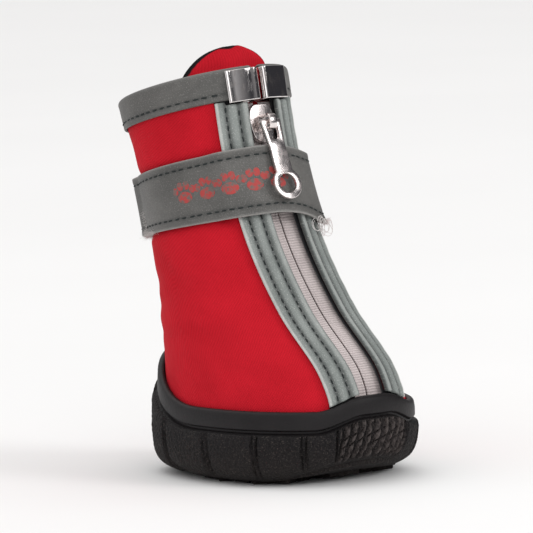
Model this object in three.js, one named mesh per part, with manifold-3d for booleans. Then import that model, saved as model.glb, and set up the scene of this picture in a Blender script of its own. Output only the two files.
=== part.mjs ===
// A dog bootie: a fabric shaft with a front zip and an ankle strap, set in a moulded rubber cup sole.
// Millimetres, +Z up, toe towards -Y. The origin is at the middle of the tread, on the floor.

import * as THREE from 'three';
import { mergeVertices } from 'three/addons/utils/BufferGeometryUtils.js';
import Module from 'manifold-3d';

const wasm = await Module();
wasm.setup();

// Sizes of the last, the form that the upper is drawn over
const LAST_LENGTH = 78;
const BALL_WIDTH = 56;
const COLLAR_FRONT_HEIGHT = 113.5;
const COLLAR_BACK_HEIGHT = 100.5;

// Thicknesses and the clearance between layers
const GAP = 0.3;
const WALL = 1.6;
const BINDING_THICK = 0.8;
const FACING_THICK = 0.9;
const FACING_LIP = 0.6;
const TAPE_THICK = 0.8;
const COIL_THICK = 1.2;
// Extra clearance where two curved faces follow each other, and where a flat face crosses a curved one
const CURVE_EASE = 0.1;
const CROSS_EASE = 0.15;
const FACING_SEAT = GAP + CURVE_EASE;
const TONGUE_THICK = 1.8;
const STRAP_THICK = 1.1;
const CLIP_THICK = 0.6;
const INSOLE_THICK = 2.0;

// Outsole
const LUG_DEPTH = 1.0;
const FLOOR_THICK = 3.0;
const TOE_SPRING = 5.0;
const SPRING_START = 18.0;
const ARCH_LIFT = 1.0;
const ARCH_CENTRE = 13.0;
const ARCH_HALF = 5.0;
const CUP_SIDE_HEIGHT = 21.2;
const CUP_TOE_HEIGHT = 24.8;
const CUP_HEEL_HEIGHT = 34.0;
const HUMP_START_TURN = 6;
const HUMP_END_TURN = 32;
const HEEL_START_TURN = 92;
const HEEL_END_TURN = 168;
const RIM_BAND = 5.3;
const RIM_THICK = 2.2;
const RIM_CHAMFER_DOWN = 0.7;
const RIM_CHAMFER_IN = 0.55;
const WALL_BULGE = 3.4;
const GROOVE_DEPTH = 1.0;
const TREAD_INSET = 3.2;
const TOE_CAP_TURN = 20;
const TOE_RIB_COUNT = 9;
const TOE_RIB_DEPTH = 0.7;
const PANEL_GROOVE_DEPTH = 0.7;
const PANEL_GROOVE_TURN = 1.8;
const WIDEST_SECTION_TURN = 10;

// Tread blocks: a round pad under the ball, chevrons ahead of it, wedges at the sides, bricks at the heel
const PAD_RADIUS = 9.0;
const PAD_CORE = 4.5;
const PAD_HOLE = 6.12;
const LUG_PITCH = 6.6;
const LUG_BAR = 3.6;
const LUG_GAP = 1.6;
const CHEVRON_HALF = 5.2;
const CHEVRON_RISE = 1.6;
const CHEVRON_ROWS = 3;
const WEDGE_HALF = 3.1;
const WEDGE_BACK = 2.6;
const WEDGE_NOSE = 3.0;
const WEDGE_ROWS = 5;
const WEDGE_START = 4.5;
const WEDGE_INSET = 3.4;
const WEDGE_STEP = 7.4;
const WEDGE_STAGGER = 1.2;
const WEDGE_TURN = 30;
const BRICK_LENGTH = 7.2;
const BRICK_ROWS = 4;

// Front opening, its trims and the collar
const THROAT_HALF = 5.2;
const THROAT_FOOT = 21.0;
const FACING_START = 4.6;
const FACING_WIDTH = 8.0;
const TAPE_START = 0.25;
const TAPE_WIDTH = 8.4;
const COIL_WIDTH = 1.6;
const BINDING_HEIGHT = 8.0;
const LIP_WIDTH = 1.5;
const CLIP_START = 0.6;
const CLIP_WIDTH = 8.8;
const CLIP_OVERHANG = 1.0;
const CLIP_RISE = 0.1;

// Tongue
const TONGUE_FOOT = 22.0;
const TONGUE_HALF = 15.2;
const TONGUE_RISE = 8.4;
const TONGUE_TAPER = 6.0;
const TONGUE_ROUND = 2.5;
const TONGUE_TIP_SHARE = 0.02;
const TONGUE_DRIFT = 1.2;
const TONGUE_SET_BACK = 3.4;
const TONGUE_WINGS = [5.0, 15.0];

// Ankle strap: it starts under itself at one turn and ends over itself one lap and a bit later
const STRAP_WIDTH = 19.0;
const STRAP_DROP = 22.0;
const STRAP_START = 140;
const STRAP_END = 530;
const STRAP_SAG = 3.2;

// Turns in degrees between which the strap climbs on and off the facings, climbs on its own start after
// a lap, sags and comes back up, and the longest turn between two of its sections
const STRAP_ON_TURNS = [310, 324];
const STRAP_OFF_TURNS = [396, 412];
const STRAP_LAP_TURNS = [345, 358];
const SAG_TURNS = [225, 300];
const RISE_TURNS = [315, 372];
const STRAP_SECTION_TURN = 7;

// Slider and pull tab
const SLIDER_WIDTH = 8.6;
const SLIDER_LENGTH = 11.0;
const SLIDER_PLATE = 1.3;
const SLIDER_DROP = 15.6;
const NECK_WIDTH = 1.4;
const NECK_LENGTH = 3.0;
const BAIL_WIDTH = 2.6;
const BAIL_LENGTH = 4.8;
const BAIL_BAR = 0.9;
const BAIL_CORNER = 1.6;
const BAIL_PLAY = 1.1;
const BACK_PLATE = 1.0;
const PIVOT_HEIGHT = 3.4;
const PULL_LENGTH = 23.0;
const PULL_WIDTH = 6.8;
const PULL_THICK = 1.2;
const PULL_BAR = 1.3;
const RING_RADIUS = 4.6;
const RING_HOLE = 2.8;
const RING_FLANK = 38;
const STEM_SHARE = 0.78;
const STEM_FOOT = 7.5;
const WINDOW_FOOT = 5.2;
const WINDOW_PLAY = 0.4;
const SHOULDER = 0.6;

// Sections of the last, from the feather edge (level 0) to the collar (level 1). Each lies in a plane
// through its front and back points. Front and back are shares of LAST_LENGTH, frontRise and backRise
// of the two collar heights, half of BALL_WIDTH. Middle is where the section is widest, measured from
// the back, and square is the power of its superellipse.
const COLUMNS = ['level', 'front', 'frontRise', 'back', 'backRise', 'half', 'middle', 'square'];
const SECTIONS = [
  [0.00, -0.500, 0.018, 0.487, 0.020, 0.500, 0.50, 2.25],
  [0.14, -0.528, 0.159, 0.492, 0.159, 0.505, 0.49, 2.20],
  [0.28, -0.492, 0.266, 0.500, 0.279, 0.478, 0.48, 2.05],
  [0.46, -0.263, 0.419, 0.513, 0.428, 0.443, 0.48, 2.00],
  [0.62, -0.097, 0.577, 0.545, 0.577, 0.410, 0.50, 2.00],
  [0.80, 0.017, 0.775, 0.609, 0.766, 0.389, 0.50, 2.00],
  [1.00, 0.083, 1.000, 0.712, 1.000, 0.396, 0.50, 2.00],
].map((row) => Object.fromEntries(row.map((value, i) => [COLUMNS[i], value])));

// Side wall of the cup from the tread up: height above the tread edge or below the rim, and how far
// it stands out from the last as a share of WALL_BULGE. Relief is the share of ribs and panel grooves.
const WALL_FOOT = [
  { up: 0.0, out: -0.85 },
  { up: 1.2, out: -0.10 },
  { up: 3.2, out: 0.55 },
  { up: 6.0, out: 0.90 },
];
const WALL_HEAD = [
  { down: 1.75, out: 1.00, relief: 1.0 },
  { down: 1.22, out: 0.86, relief: 0.5 },
];

// Rings inside the edge of the sole's floor and of the footbed, as shares of the way out from the middle
const FLOOR_RINGS = [0.35, 0.6, 0.82];

// Turns of the grooves that part the side wall into panels, mirrored to both sides
const PANEL_TURNS = [37, 61, 86, 112, 138, 163];

// Levels of the section rings shared by everything that lies on the shaft
const RING_LEVELS = [0.1, 0.18, 0.26, 0.34, 0.42, 0.5, 0.58, 0.66, 0.75, 0.84, 0.92, 1.0];
const RING_COUNT = 48;

// Level at which the toe spring has faded out, levels where the cup's hollow and the throat's cut stop
// or start, and the step of level that gives the shaft's direction at the collar
const SPRING_LEVEL = 0.28;
const HOLLOW_LEVEL = 0.45;
const THROAT_LEVEL = 0.26;
const FACING_FOOT_LEVEL = 0.24;
const COLLAR_STEP = 0.02;

const COLOURS = {
  rubber: { color: 0x26262a, roughness: 0.75, metalness: 0 },
  softshell: { color: 0xc81426, roughness: 0.8, metalness: 0 },
  webbing: { color: 0x77797b, roughness: 0.7, metalness: 0 },
  tape: { color: 0xcdbfc2, roughness: 0.6, metalness: 0 },
  metal: { color: 0xd8d8dc, roughness: 0.2, metalness: 1 },
  foam: { color: 0x1f1f22, roughness: 0.9, metalness: 0 },
};

const radians = THREE.MathUtils.degToRad;
const lerp = THREE.MathUtils.lerp;
const smooth = (from, to, x) => THREE.MathUtils.smoothstep(x, from, to);
const range = (count) => Array.from({ length: count }, (_, i) => i);
const steps = (from, to, count) => range(count + 1).map((i) => lerp(from, to, i / count));

// Value of one column of SECTIONS at a level: a cubic through the rows, with slopes from their neighbours
function column(name, level) {
  const last = SECTIONS.length - 1;
  const found = SECTIONS.findIndex((row) => row.level > level);
  const i = Math.min(found < 0 ? last - 1 : found - 1, last - 1);
  const run = (k) => SECTIONS[k + 1].level - SECTIONS[k].level;
  const secant = (k) => (SECTIONS[k + 1][name] - SECTIONS[k][name]) / run(k);
  const slope = (k) => {
    if (k === 0) return secant(0);
    if (k === last) return secant(last - 1);
    return (secant(k - 1) * run(k) + secant(k) * run(k - 1)) / (run(k - 1) + run(k));
  };
  const h = run(i);
  const u = (level - SECTIONS[i].level) / h;
  const ease = u * u * (3 - 2 * u);
  const lead = u * (1 - u) * (1 - u);
  const tail = u * u * (u - 1);
  const between = lerp(SECTIONS[i][name], SECTIONS[i + 1][name], ease);
  return between + h * (lead * slope(i) + tail * slope(i + 1));
}

// Lift of the sole under the toe
function springAt(y) {
  const u = Math.max(0, (-y - SPRING_START) / (LAST_LENGTH / 2 - SPRING_START));
  return TOE_SPRING * u * u;
}

// Point of the last: turn is 0 at the toe and grows towards -X, level runs from feather edge to
// collar, and offset is the distance out along the section's normal.
function sectionPoint(turn, level, offset) {
  const front = new THREE.Vector2(column('front', level), column('frontRise', level));
  front.multiply(new THREE.Vector2(LAST_LENGTH, COLLAR_FRONT_HEIGHT));
  const back = new THREE.Vector2(column('back', level), column('backRise', level));
  back.multiply(new THREE.Vector2(LAST_LENGTH, COLLAR_BACK_HEIGHT));
  const depth = front.distanceTo(back);
  const along = front.clone().sub(back).divideScalar(depth);
  const middle = column('middle', level);
  const half = column('half', level) * BALL_WIDTH;
  const square = column('square', level);
  const c = Math.cos(turn);
  const s = Math.sin(turn);
  const reach = c >= 0 ? (1 - middle) * depth : middle * depth;
  let forward = reach * Math.sign(c) * Math.abs(c) ** (2 / square);
  let aside = half * Math.sign(s) * Math.abs(s) ** (2 / square);
  const nx = Math.sign(s) * Math.abs(aside / half) ** (square - 1) / half;
  const ny = Math.sign(c) * Math.abs(forward / reach) ** (square - 1) / reach;
  const norm = Math.hypot(nx, ny);
  forward += offset * ny / norm;
  aside += offset * nx / norm;
  const y = back.x + along.x * (middle * depth + forward);
  const z = back.y + along.y * (middle * depth + forward);
  return new THREE.Vector3(-aside, y, z + springAt(y) * (1 - smooth(0, SPRING_LEVEL, level)));
}

// The same, carried on in a straight line above the collar
function lastPoint(turn, level, offset) {
  if (level <= 1) return sectionPoint(turn, level, offset);
  const rim = sectionPoint(turn, 1, offset);
  const under = sectionPoint(turn, 1 - COLLAR_STEP, offset);
  return rim.clone().add(rim.clone().sub(under).multiplyScalar((level - 1) / COLLAR_STEP));
}

// Level of a point a given distance above the collar edge, or below it when negative
const collarRun = sectionPoint(0, 1, 0).distanceTo(sectionPoint(0, 1 - COLLAR_STEP, 0));
const SHAFT_PER_LEVEL = collarRun / COLLAR_STEP;
const collarLevel = (rise) => 1 + rise / SHAFT_PER_LEVEL;

// Level at which the last reaches a height, found by halving
function levelAt(turn, height, offset = 0) {
  let low = 0;
  let high = 1;
  for (const _ of range(30)) {
    const middle = (low + high) / 2;
    if (sectionPoint(turn, middle, offset).z < height) low = middle;
    else high = middle;
  }
  return (low + high) / 2;
}

// Turn of a point a given distance aside from the front line, positive towards -X, on the surface
// that lies an offset out from the last
function turnAside(level, distance, offset = 0) {
  const at = Math.min(level, 1);
  const share = Math.min(1, Math.abs(distance) / (column('half', at) * BALL_WIDTH + offset));
  return Math.sign(distance) * Math.asin(share ** (column('square', at) / 2));
}

// Closed mesh from vertices and triangles, with its faces pointing out
function closedMesh(points, faces) {
  const position = new Float32Array(points.flatMap((p) => [p.x, p.y, p.z]));
  let volume = 0;
  for (const [a, b, c] of faces) {
    volume += points[a].dot(new THREE.Vector3().crossVectors(points[b], points[c]));
  }
  const order = volume < 0 ? faces.map(([a, b, c]) => [a, c, b]) : faces;
  const geometry = new THREE.BufferGeometry();
  geometry.setAttribute('position', new THREE.BufferAttribute(position, 3));
  geometry.setIndex(order.flat());
  return geometry;
}

// Sheet with two faces: each section holds matching lists of points on its outer and its inner face.
// A closed sheet joins its last section to its first, and an open one is capped.
function sheet(sections, closed) {
  const width = sections[0].outer.length;
  const around = 2 * width;
  const points = sections.flatMap(({ outer, inner }) => [...outer, ...inner.slice().reverse()]);
  const faces = [];
  const count = sections.length;
  for (const i of range(closed ? count : count - 1)) {
    const next = (i + 1) % count;
    for (const k of range(around)) {
      const l = (k + 1) % around;
      faces.push([i * around + k, i * around + l, next * around + l]);
      faces.push([i * around + k, next * around + l, next * around + k]);
    }
  }
  if (!closed) {
    const end = (count - 1) * around;
    for (const j of range(width - 1)) {
      const opposite = around - 1 - j;
      faces.push([j + 1, j, opposite], [j + 1, opposite, opposite - 1]);
      faces.push([end + j, end + j + 1, end + opposite - 1], [end + j, end + opposite - 1, end + opposite]);
    }
  }
  return closedMesh(points, faces);
}

// Body stacked from rings of equal count, closed to a point at each end
function stack(rings, foot, head) {
  const count = rings[0].length;
  const points = [foot, ...rings.flat(), head];
  const faces = [];
  const top = points.length - 1;
  for (const k of range(count)) {
    const l = (k + 1) % count;
    faces.push([0, 1 + l, 1 + k]);
    for (const i of range(rings.length - 1)) {
      const at = 1 + i * count;
      faces.push([at + k, at + l, at + count + l], [at + k, at + count + l, at + count + k]);
    }
    faces.push([top, top - count + k, top - count + l]);
  }
  return closedMesh(points, faces);
}

function toSolid(geometry) {
  const bare = geometry.clone();
  bare.deleteAttribute('normal');
  bare.deleteAttribute('uv');
  const merged = mergeVertices(bare, 1e-5);
  return new wasm.Manifold(new wasm.Mesh({
    numProp: 3,
    vertProperties: new Float32Array(merged.attributes.position.array),
    triVerts: new Uint32Array(merged.index.array),
  }));
}

function fromSolid(solid) {
  const mesh = solid.getMesh();
  const geometry = new THREE.BufferGeometry();
  geometry.setAttribute('position', new THREE.BufferAttribute(new Float32Array(mesh.vertProperties), 3));
  geometry.setIndex(Array.from(mesh.triVerts));
  return geometry;
}

// Outline extruded upwards along Z between two heights
function prism(shape, low, high, arcSteps = 10) {
  const settings = { depth: high - low, bevelEnabled: false, curveSegments: arcSteps };
  return new THREE.ExtrudeGeometry(shape, settings).translate(0, 0, low);
}

// Outline drawn in X and Z, extruded along Y between two distances in front of the XZ plane
function plate(shape, near, far, arcSteps = 10) {
  return prism(shape, near, far, arcSteps).rotateX(Math.PI / 2);
}

function block(centre, size) {
  return new THREE.BoxGeometry(size.x, size.y, size.z).translate(centre.x, centre.y, centre.z);
}

// Outsole

// Height of the cup's rim: level along the sides, a hump over the zip's foot and a raised heel
function rimHeight(turn) {
  const degrees = Math.abs(THREE.MathUtils.radToDeg(Math.atan2(Math.sin(turn), Math.cos(turn))));
  const hump = (CUP_TOE_HEIGHT - CUP_SIDE_HEIGHT) * (1 - smooth(HUMP_START_TURN, HUMP_END_TURN, degrees));
  const heel = (CUP_HEEL_HEIGHT - CUP_SIDE_HEIGHT) * smooth(HEEL_START_TURN, HEEL_END_TURN, degrees);
  return CUP_SIDE_HEIGHT + hump + heel;
}

// Underside of the sole's floor: raised under the arch and the toe
function soleBase(y) {
  const arch = ARCH_LIFT * (1 - smooth(0, ARCH_HALF, Math.abs(y - ARCH_CENTRE)));
  return LUG_DEPTH + springAt(y) + arch;
}

const soleFloor = (y) => LUG_DEPTH + FLOOR_THICK + ARCH_LIFT + springAt(y);

// Turns at which the outsole is cut into sections: close together over the toe ribs and at each groove
function soleTurns() {
  const ribs = steps(-TOE_CAP_TURN, TOE_CAP_TURN, 4 * TOE_RIB_COUNT);
  const marks = PANEL_TURNS.flatMap((turn) => [turn - PANEL_GROOVE_TURN, turn, turn + PANEL_GROOVE_TURN]);
  const side = [TOE_CAP_TURN, ...marks, 180];
  const filled = side.flatMap((turn, i) => {
    const span = i + 1 < side.length ? side[i + 1] - turn : 0;
    const count = Math.max(1, Math.ceil(span / WIDEST_SECTION_TURN));
    return range(count).map((k) => turn + span * k / count);
  });
  const right = filled.slice(1);
  const left = right.slice(0, -1).reverse().map((turn) => -turn);
  return [...ribs, ...right, ...left].map(radians);
}

// How much the side wall is cut back at a turn by toe ribs and panel grooves
function wallRelief(turn) {
  const degrees = Math.abs(THREE.MathUtils.radToDeg(turn));
  if (degrees < TOE_CAP_TURN) {
    const phase = Math.PI * TOE_RIB_COUNT * THREE.MathUtils.radToDeg(turn) / TOE_CAP_TURN;
    return TOE_RIB_DEPTH * (0.5 + 0.5 * Math.cos(phase));
  }
  const groove = PANEL_TURNS.some((mark) => Math.abs(degrees - mark) < PANEL_GROOVE_TURN / 2);
  return groove ? PANEL_GROOVE_DEPTH : 0;
}

// Turns and levels shared by the upper and by the hollow that it stands in
const RING_TURNS = steps(0, 2 * Math.PI, RING_COUNT).slice(0, -1);
const footLevel = (turn) => levelAt(turn, soleFloor(sectionPoint(turn, 0, 0).y));

function flatShare(point, share, heightAt) {
  const flat = new THREE.Vector3(point.x * share, point.y * share, 0);
  return flat.setZ(heightAt(flat.y));
}

// Outside of the cup: tread, side wall with its steps, panels and ribs, and the rim
function outsoleForm() {
  const turns = soleTurns();
  const wallRing = (heightAt, offsetAt) => turns.map((turn) => {
    const at = sectionPoint(turn, levelAt(turn, heightAt(turn), offsetAt(turn)), offsetAt(turn));
    return at.setZ(heightAt(turn));
  });
  const edge = turns.map((turn) => sectionPoint(turn, 0, WALL_BULGE * WALL_FOOT[0].out));
  const treadRing = (share) => edge.map((p) => flatShare(p, share, soleBase));
  const edgeBase = (turn) => soleBase(sectionPoint(turn, 0, 0).y);
  const footRings = WALL_FOOT.slice(1).map(({ up, out }) => wallRing(
    (turn) => edgeBase(turn) + up,
    (turn) => WALL_BULGE * out - (up > WALL_FOOT[1].up ? wallRelief(turn) : 0),
  ));
  const headRings = WALL_HEAD.map(({ down, out, relief }) => wallRing(
    (turn) => rimHeight(turn) - RIM_BAND * down,
    (turn) => WALL_BULGE * out - relief * wallRelief(turn),
  ));
  const rimRing = (down, offset) => wallRing((turn) => rimHeight(turn) - down, () => offset);
  const grooveOut = RIM_THICK - GROOVE_DEPTH;
  const groove = [rimRing(RIM_BAND * 1.12, grooveOut), rimRing(RIM_BAND, grooveOut)];
  const rim = [
    rimRing(RIM_BAND * 0.9, RIM_THICK),
    rimRing(RIM_CHAMFER_DOWN, RIM_THICK),
    rimRing(0, RIM_THICK - RIM_CHAMFER_IN),
    rimRing(0, -WALL),
  ];
  const tread = [treadRing(0.5), treadRing(0.8), treadRing(1)];
  const rings = [...tread, ...footRings, ...headRings, ...groove, ...rim];
  return stack(rings, new THREE.Vector3(0, 0, soleBase(0)), new THREE.Vector3(0, 0, CUP_SIDE_HEIGHT));
}

// Hollow of the cup, a clearance larger than the upper's foot
function outsoleHollow() {
  const over = RING_LEVELS.filter((level) => level < HOLLOW_LEVEL);
  const wall = [0, ...over].map((level) => RING_TURNS.map((turn) => {
    if (level > 0) return sectionPoint(turn, level, GAP);
    const foot = sectionPoint(turn, footLevel(turn), GAP);
    return foot.setZ(soleFloor(foot.y));
  }));
  const floor = FLOOR_RINGS.map((share) => wall[0].map((p) => flatShare(p, share, soleFloor)));
  const above = 1.35 * CUP_HEEL_HEIGHT;
  return stack([...floor, ...wall], new THREE.Vector3(0, 0, soleFloor(0)), new THREE.Vector3(0, 0, above));
}

function polygon(points) {
  return new THREE.Shape(points.map(([x, y]) => new THREE.Vector2(x, y)));
}

// Tread block under the sole: an outline set down at a place, with its foot following the toe spring
function lug(shape, x, y, turn = 0) {
  const geometry = prism(shape, 0, 1).rotateZ(turn).translate(x, y, 0);
  const position = geometry.attributes.position;
  for (const i of range(position.count)) {
    const rise = springAt(position.getY(i));
    const root = soleBase(position.getY(i)) + 0.5 * FLOOR_THICK;
    position.setZ(i, position.getZ(i) > 0.5 ? root : rise);
  }
  return geometry;
}

// Half width of the tread at a place along the sole, inside the wall's rounded foot
function treadHalf(y) {
  const edge = sectionPoint(Math.PI / 2, 0, -TREAD_INSET);
  const reach = y < 0 ? -sectionPoint(0, 0, -TREAD_INSET).y : sectionPoint(Math.PI, 0, -TREAD_INSET).y;
  const square = SECTIONS[0].square;
  return Math.abs(edge.x) * Math.max(0, 1 - Math.abs(y / reach) ** square) ** (1 / square);
}

function treadLugs() {
  const lugs = [];

  const disc = new THREE.Shape().absarc(0, 0, PAD_CORE, 0, 2 * Math.PI);
  const hoop = new THREE.Shape().absarc(0, 0, PAD_RADIUS, 0, 2 * Math.PI);
  hoop.holes.push(new THREE.Path().absarc(0, 0, PAD_HOLE, 0, 2 * Math.PI));
  lugs.push(lug(disc, 0, 0), lug(hoop, 0, 0));

  const chevron = polygon([
    [-CHEVRON_HALF, CHEVRON_RISE],
    [0, -CHEVRON_RISE],
    [CHEVRON_HALF, CHEVRON_RISE],
    [CHEVRON_HALF, CHEVRON_RISE + LUG_BAR],
    [0, LUG_BAR - CHEVRON_RISE],
    [-CHEVRON_HALF, CHEVRON_RISE + LUG_BAR],
  ]);
  for (const row of range(CHEVRON_ROWS)) {
    lugs.push(lug(chevron, 0, -PAD_RADIUS - LUG_PITCH * (row + 1)));
  }

  const wedge = polygon([[-WEDGE_HALF, -WEDGE_BACK], [WEDGE_HALF, -WEDGE_BACK], [0, WEDGE_NOSE]]);
  for (const side of [-1, 1]) {
    for (const row of range(WEDGE_ROWS)) {
      const y = WEDGE_START - LUG_PITCH * row;
      const way = side * (row % 2 ? 1 : -1);
      const outer = treadHalf(y) - WEDGE_INSET;
      lugs.push(lug(wedge, side * outer, y, way * radians(WEDGE_TURN)));
      const inner = outer - WEDGE_STEP;
      const clear = row < CHEVRON_ROWS ? PAD_RADIUS + WEDGE_INSET : CHEVRON_HALF + LUG_BAR;
      if (inner > clear) lugs.push(lug(wedge, side * inner, y + WEDGE_STAGGER, way * radians(-90)));
    }
  }

  const half = BRICK_LENGTH / 2;
  const bar = LUG_BAR / 2;
  const brick = polygon([[-half, -bar], [half, -bar], [half, bar], [-half, bar]]);
  const pitch = BRICK_LENGTH + LUG_GAP;
  for (const row of range(BRICK_ROWS)) {
    const y = ARCH_CENTRE + ARCH_HALF + LUG_GAP + bar / 2 + row * (LUG_BAR + LUG_GAP);
    const count = Math.floor((2 * treadHalf(y + bar)) / pitch) - (row % 2);
    for (const i of range(count)) lugs.push(lug(brick, (i - (count - 1) / 2) * pitch, y));
  }
  return lugs;
}

function outsole() {
  const cup = toSolid(outsoleForm()).subtract(toSolid(outsoleHollow()));
  return fromSolid(treadLugs().reduce((body, piece) => body.add(toSolid(piece)), cup));
}

// Footbed that lies on the cup's floor inside the foot of the upper
function insole() {
  const low = (y) => soleFloor(y) + GAP + CROSS_EASE;
  const ring = (share, lift, offset) => RING_TURNS.map((turn) => {
    const height = low(sectionPoint(turn, 0, 0).y) + lift;
    const at = sectionPoint(turn, levelAt(turn, height), offset);
    return flatShare(at, share, (y) => low(y) + lift);
  });
  const edge = -WALL - GAP - CURVE_EASE;
  const rings = [
    ...FLOOR_RINGS.map((share) => ring(share, 0, edge)),
    ring(1, 0, edge - GAP),
    ring(1, INSOLE_THICK * 0.7, edge),
    ring(1, INSOLE_THICK, edge - 2 * GAP),
    ...FLOOR_RINGS.slice().reverse().map((share) => ring(share, INSOLE_THICK, edge)),
  ];
  return stack(rings, new THREE.Vector3(0, 0, low(0)), new THREE.Vector3(0, 0, low(0) + INSOLE_THICK));
}

// Shaft and vamp in one wall, open at the collar, at the throat in front and underneath
function upper() {
  const sections = RING_TURNS.map((turn) => {
    const foot = levelAt(turn, soleFloor(sectionPoint(turn, 0, 0).y) + 2 * GAP);
    const levels = [foot, ...RING_LEVELS];
    return {
      outer: levels.map((level) => lastPoint(turn, level, 0)),
      inner: levels.map((level) => lastPoint(turn, level, -WALL)),
    };
  });
  const shaft = RING_LEVELS.filter((level) => level > THROAT_LEVEL);
  const levels = [levelAt(0, THROAT_FOOT), ...shaft, collarLevel(2 * WALL)];
  const across = steps(-THROAT_HALF, THROAT_HALF, 4);
  const throat = levels.map((level) => ({
    outer: across.map((d) => lastPoint(turnAside(level, d), level, 2 * WALL)),
    inner: across.map((d) => lastPoint(turnAside(level, d), level, -2 * WALL)),
  }));
  return fromSolid(toSolid(sheet(sections, true)).subtract(toSolid(sheet(throat, false))));
}

// Levels of a strip that runs from a foot level up to a rise under the collar
function stripLevels(foot, head) {
  return [foot, ...RING_LEVELS.filter((level) => level > foot + 0.02 && level < head - 0.02), head];
}

// Folded binding over the collar edge, from one side of the zip around the back to the other
function collarBinding() {
  const low = collarLevel(-BINDING_HEIGHT);
  const seat = collarLevel(GAP);
  const crown = collarLevel(GAP + BINDING_THICK);
  const out = GAP + BINDING_THICK;
  const ends = turnAside(1, CLIP_START + CLIP_THICK + GAP);
  const far = -WALL;
  const near = GAP - CURVE_EASE;
  const outer = [
    [low, out], [seat, out], [crown, GAP],
    [crown, far - GAP], [seat, far - out], [low, far - out],
  ];
  const inner = [[low, GAP], [1, GAP], [seat, near], [seat, far - near], [1, far - GAP], [low, far - GAP]];
  return sheet(steps(ends, 2 * Math.PI - ends, 40).map((turn) => ({
    outer: outer.map(([level, offset]) => lastPoint(turn, level, offset)),
    inner: inner.map(([level, offset]) => lastPoint(turn, level, offset)),
  })), false);
}

// Reflective facing beside the zip: flat on the upper, with a raised lip along the zip
function facing(side) {
  const clipEnd = CLIP_START + CLIP_WIDTH + GAP;
  const head = (d) => collarLevel(-BINDING_HEIGHT - GAP - (d < clipEnd ? CLIP_OVERHANG : 0));
  const profile = [
    { d: FACING_START, thick: FACING_THICK + FACING_LIP },
    { d: FACING_START + LIP_WIDTH, thick: FACING_THICK + FACING_LIP },
    { d: FACING_START + LIP_WIDTH + FACING_LIP, thick: FACING_THICK },
    { d: FACING_START + FACING_WIDTH * 0.5, thick: FACING_THICK },
    { d: FACING_START + FACING_WIDTH * 0.75, thick: FACING_THICK },
    { d: FACING_START + FACING_WIDTH, thick: FACING_THICK },
  ];
  const feet = profile.map(({ d }) => {
    const turn = turnAside(FACING_FOOT_LEVEL, side * d);
    return levelAt(turn, rimHeight(turn) + 3 * GAP, GAP);
  });
  const shared = stripLevels(Math.max(...feet) + 0.01, head(0));
  const rows = shared.map((level, i) => profile.map(({ d, thick }, j) => {
    const ends = { 0: feet[j], [shared.length - 1]: head(d) };
    const at = ends[i] ?? level;
    return { at, turn: turnAside(at, side * d), thick };
  }));
  return sheet(rows.map((row) => ({
    outer: row.map(({ at, turn, thick }) => lastPoint(turn, at, FACING_SEAT + thick)),
    inner: row.map(({ at, turn }) => lastPoint(turn, at, FACING_SEAT)),
  })), false);
}

// Slider's place on the zip: a frame with Z up along the zip and -Y out of it
const SLIDER_LEVEL = collarLevel(-SLIDER_DROP);
const sliderSeat = lastPoint(0, SLIDER_LEVEL, 0);
const zipAbove = lastPoint(0, SLIDER_LEVEL + COLLAR_STEP, 0);
const zipBelow = lastPoint(0, SLIDER_LEVEL - COLLAR_STEP, 0);
const zipUp = zipAbove.sub(zipBelow).normalize();
const zipTilt = Math.atan2(-zipUp.y, zipUp.z);

function onSlider(object, up, out) {
  object.rotation.x = zipTilt;
  const outward = new THREE.Vector3(0, -zipUp.z, zipUp.y);
  object.position.copy(sliderSeat).addScaledVector(zipUp, up).addScaledVector(outward, out);
  return object;
}

// Heights over the last's surface at the slider, along its outward direction
const TAPE_FACE = -WALL - GAP;
const TAPE_BACK = TAPE_FACE - TAPE_THICK;
const PLATE_NEAR = TAPE_FACE + GAP + CROSS_EASE;
const PLATE_FAR = PLATE_NEAR + SLIDER_PLATE;
const BACK_FAR = TAPE_BACK - COIL_THICK - GAP - CROSS_EASE;
const PIVOT_OUT = PLATE_FAR + PIVOT_HEIGHT;

// One half of the zip: woven tape with the coil sewn behind its inner edge
function zipTape(side) {
  const foot = levelAt(0, THROAT_FOOT - NECK_LENGTH);
  const head = collarLevel(-BINDING_HEIGHT - CLIP_OVERHANG - GAP);
  const coilEnd = TAPE_START + COIL_WIDTH;
  const profile = [
    { d: TAPE_START, back: TAPE_BACK - COIL_THICK },
    { d: coilEnd, back: TAPE_BACK - COIL_THICK },
    { d: coilEnd + GAP, back: TAPE_BACK },
    { d: TAPE_START + TAPE_WIDTH, back: TAPE_BACK },
  ];
  const tape = sheet(stripLevels(foot, head).map((level) => ({
    outer: profile.map(({ d }) => lastPoint(turnAside(level, side * d), level, TAPE_FACE)),
    inner: profile.map(({ d, back }) => lastPoint(turnAside(level, side * d), level, back)),
  })), false);
  const room = 2 * (GAP + CROSS_EASE);
  const size = new THREE.Vector3(NECK_WIDTH + room, SLIDER_LENGTH, NECK_LENGTH + room);
  const neckAt = (SLIDER_LENGTH - NECK_LENGTH) / 2;
  const notch = onSlider(new THREE.Mesh(block(new THREE.Vector3(0, 0, 0), size)), neckAt, 0);
  notch.updateMatrixWorld();
  return fromSolid(toSolid(tape).subtract(toSolid(notch.geometry.clone().applyMatrix4(notch.matrixWorld))));
}

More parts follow.
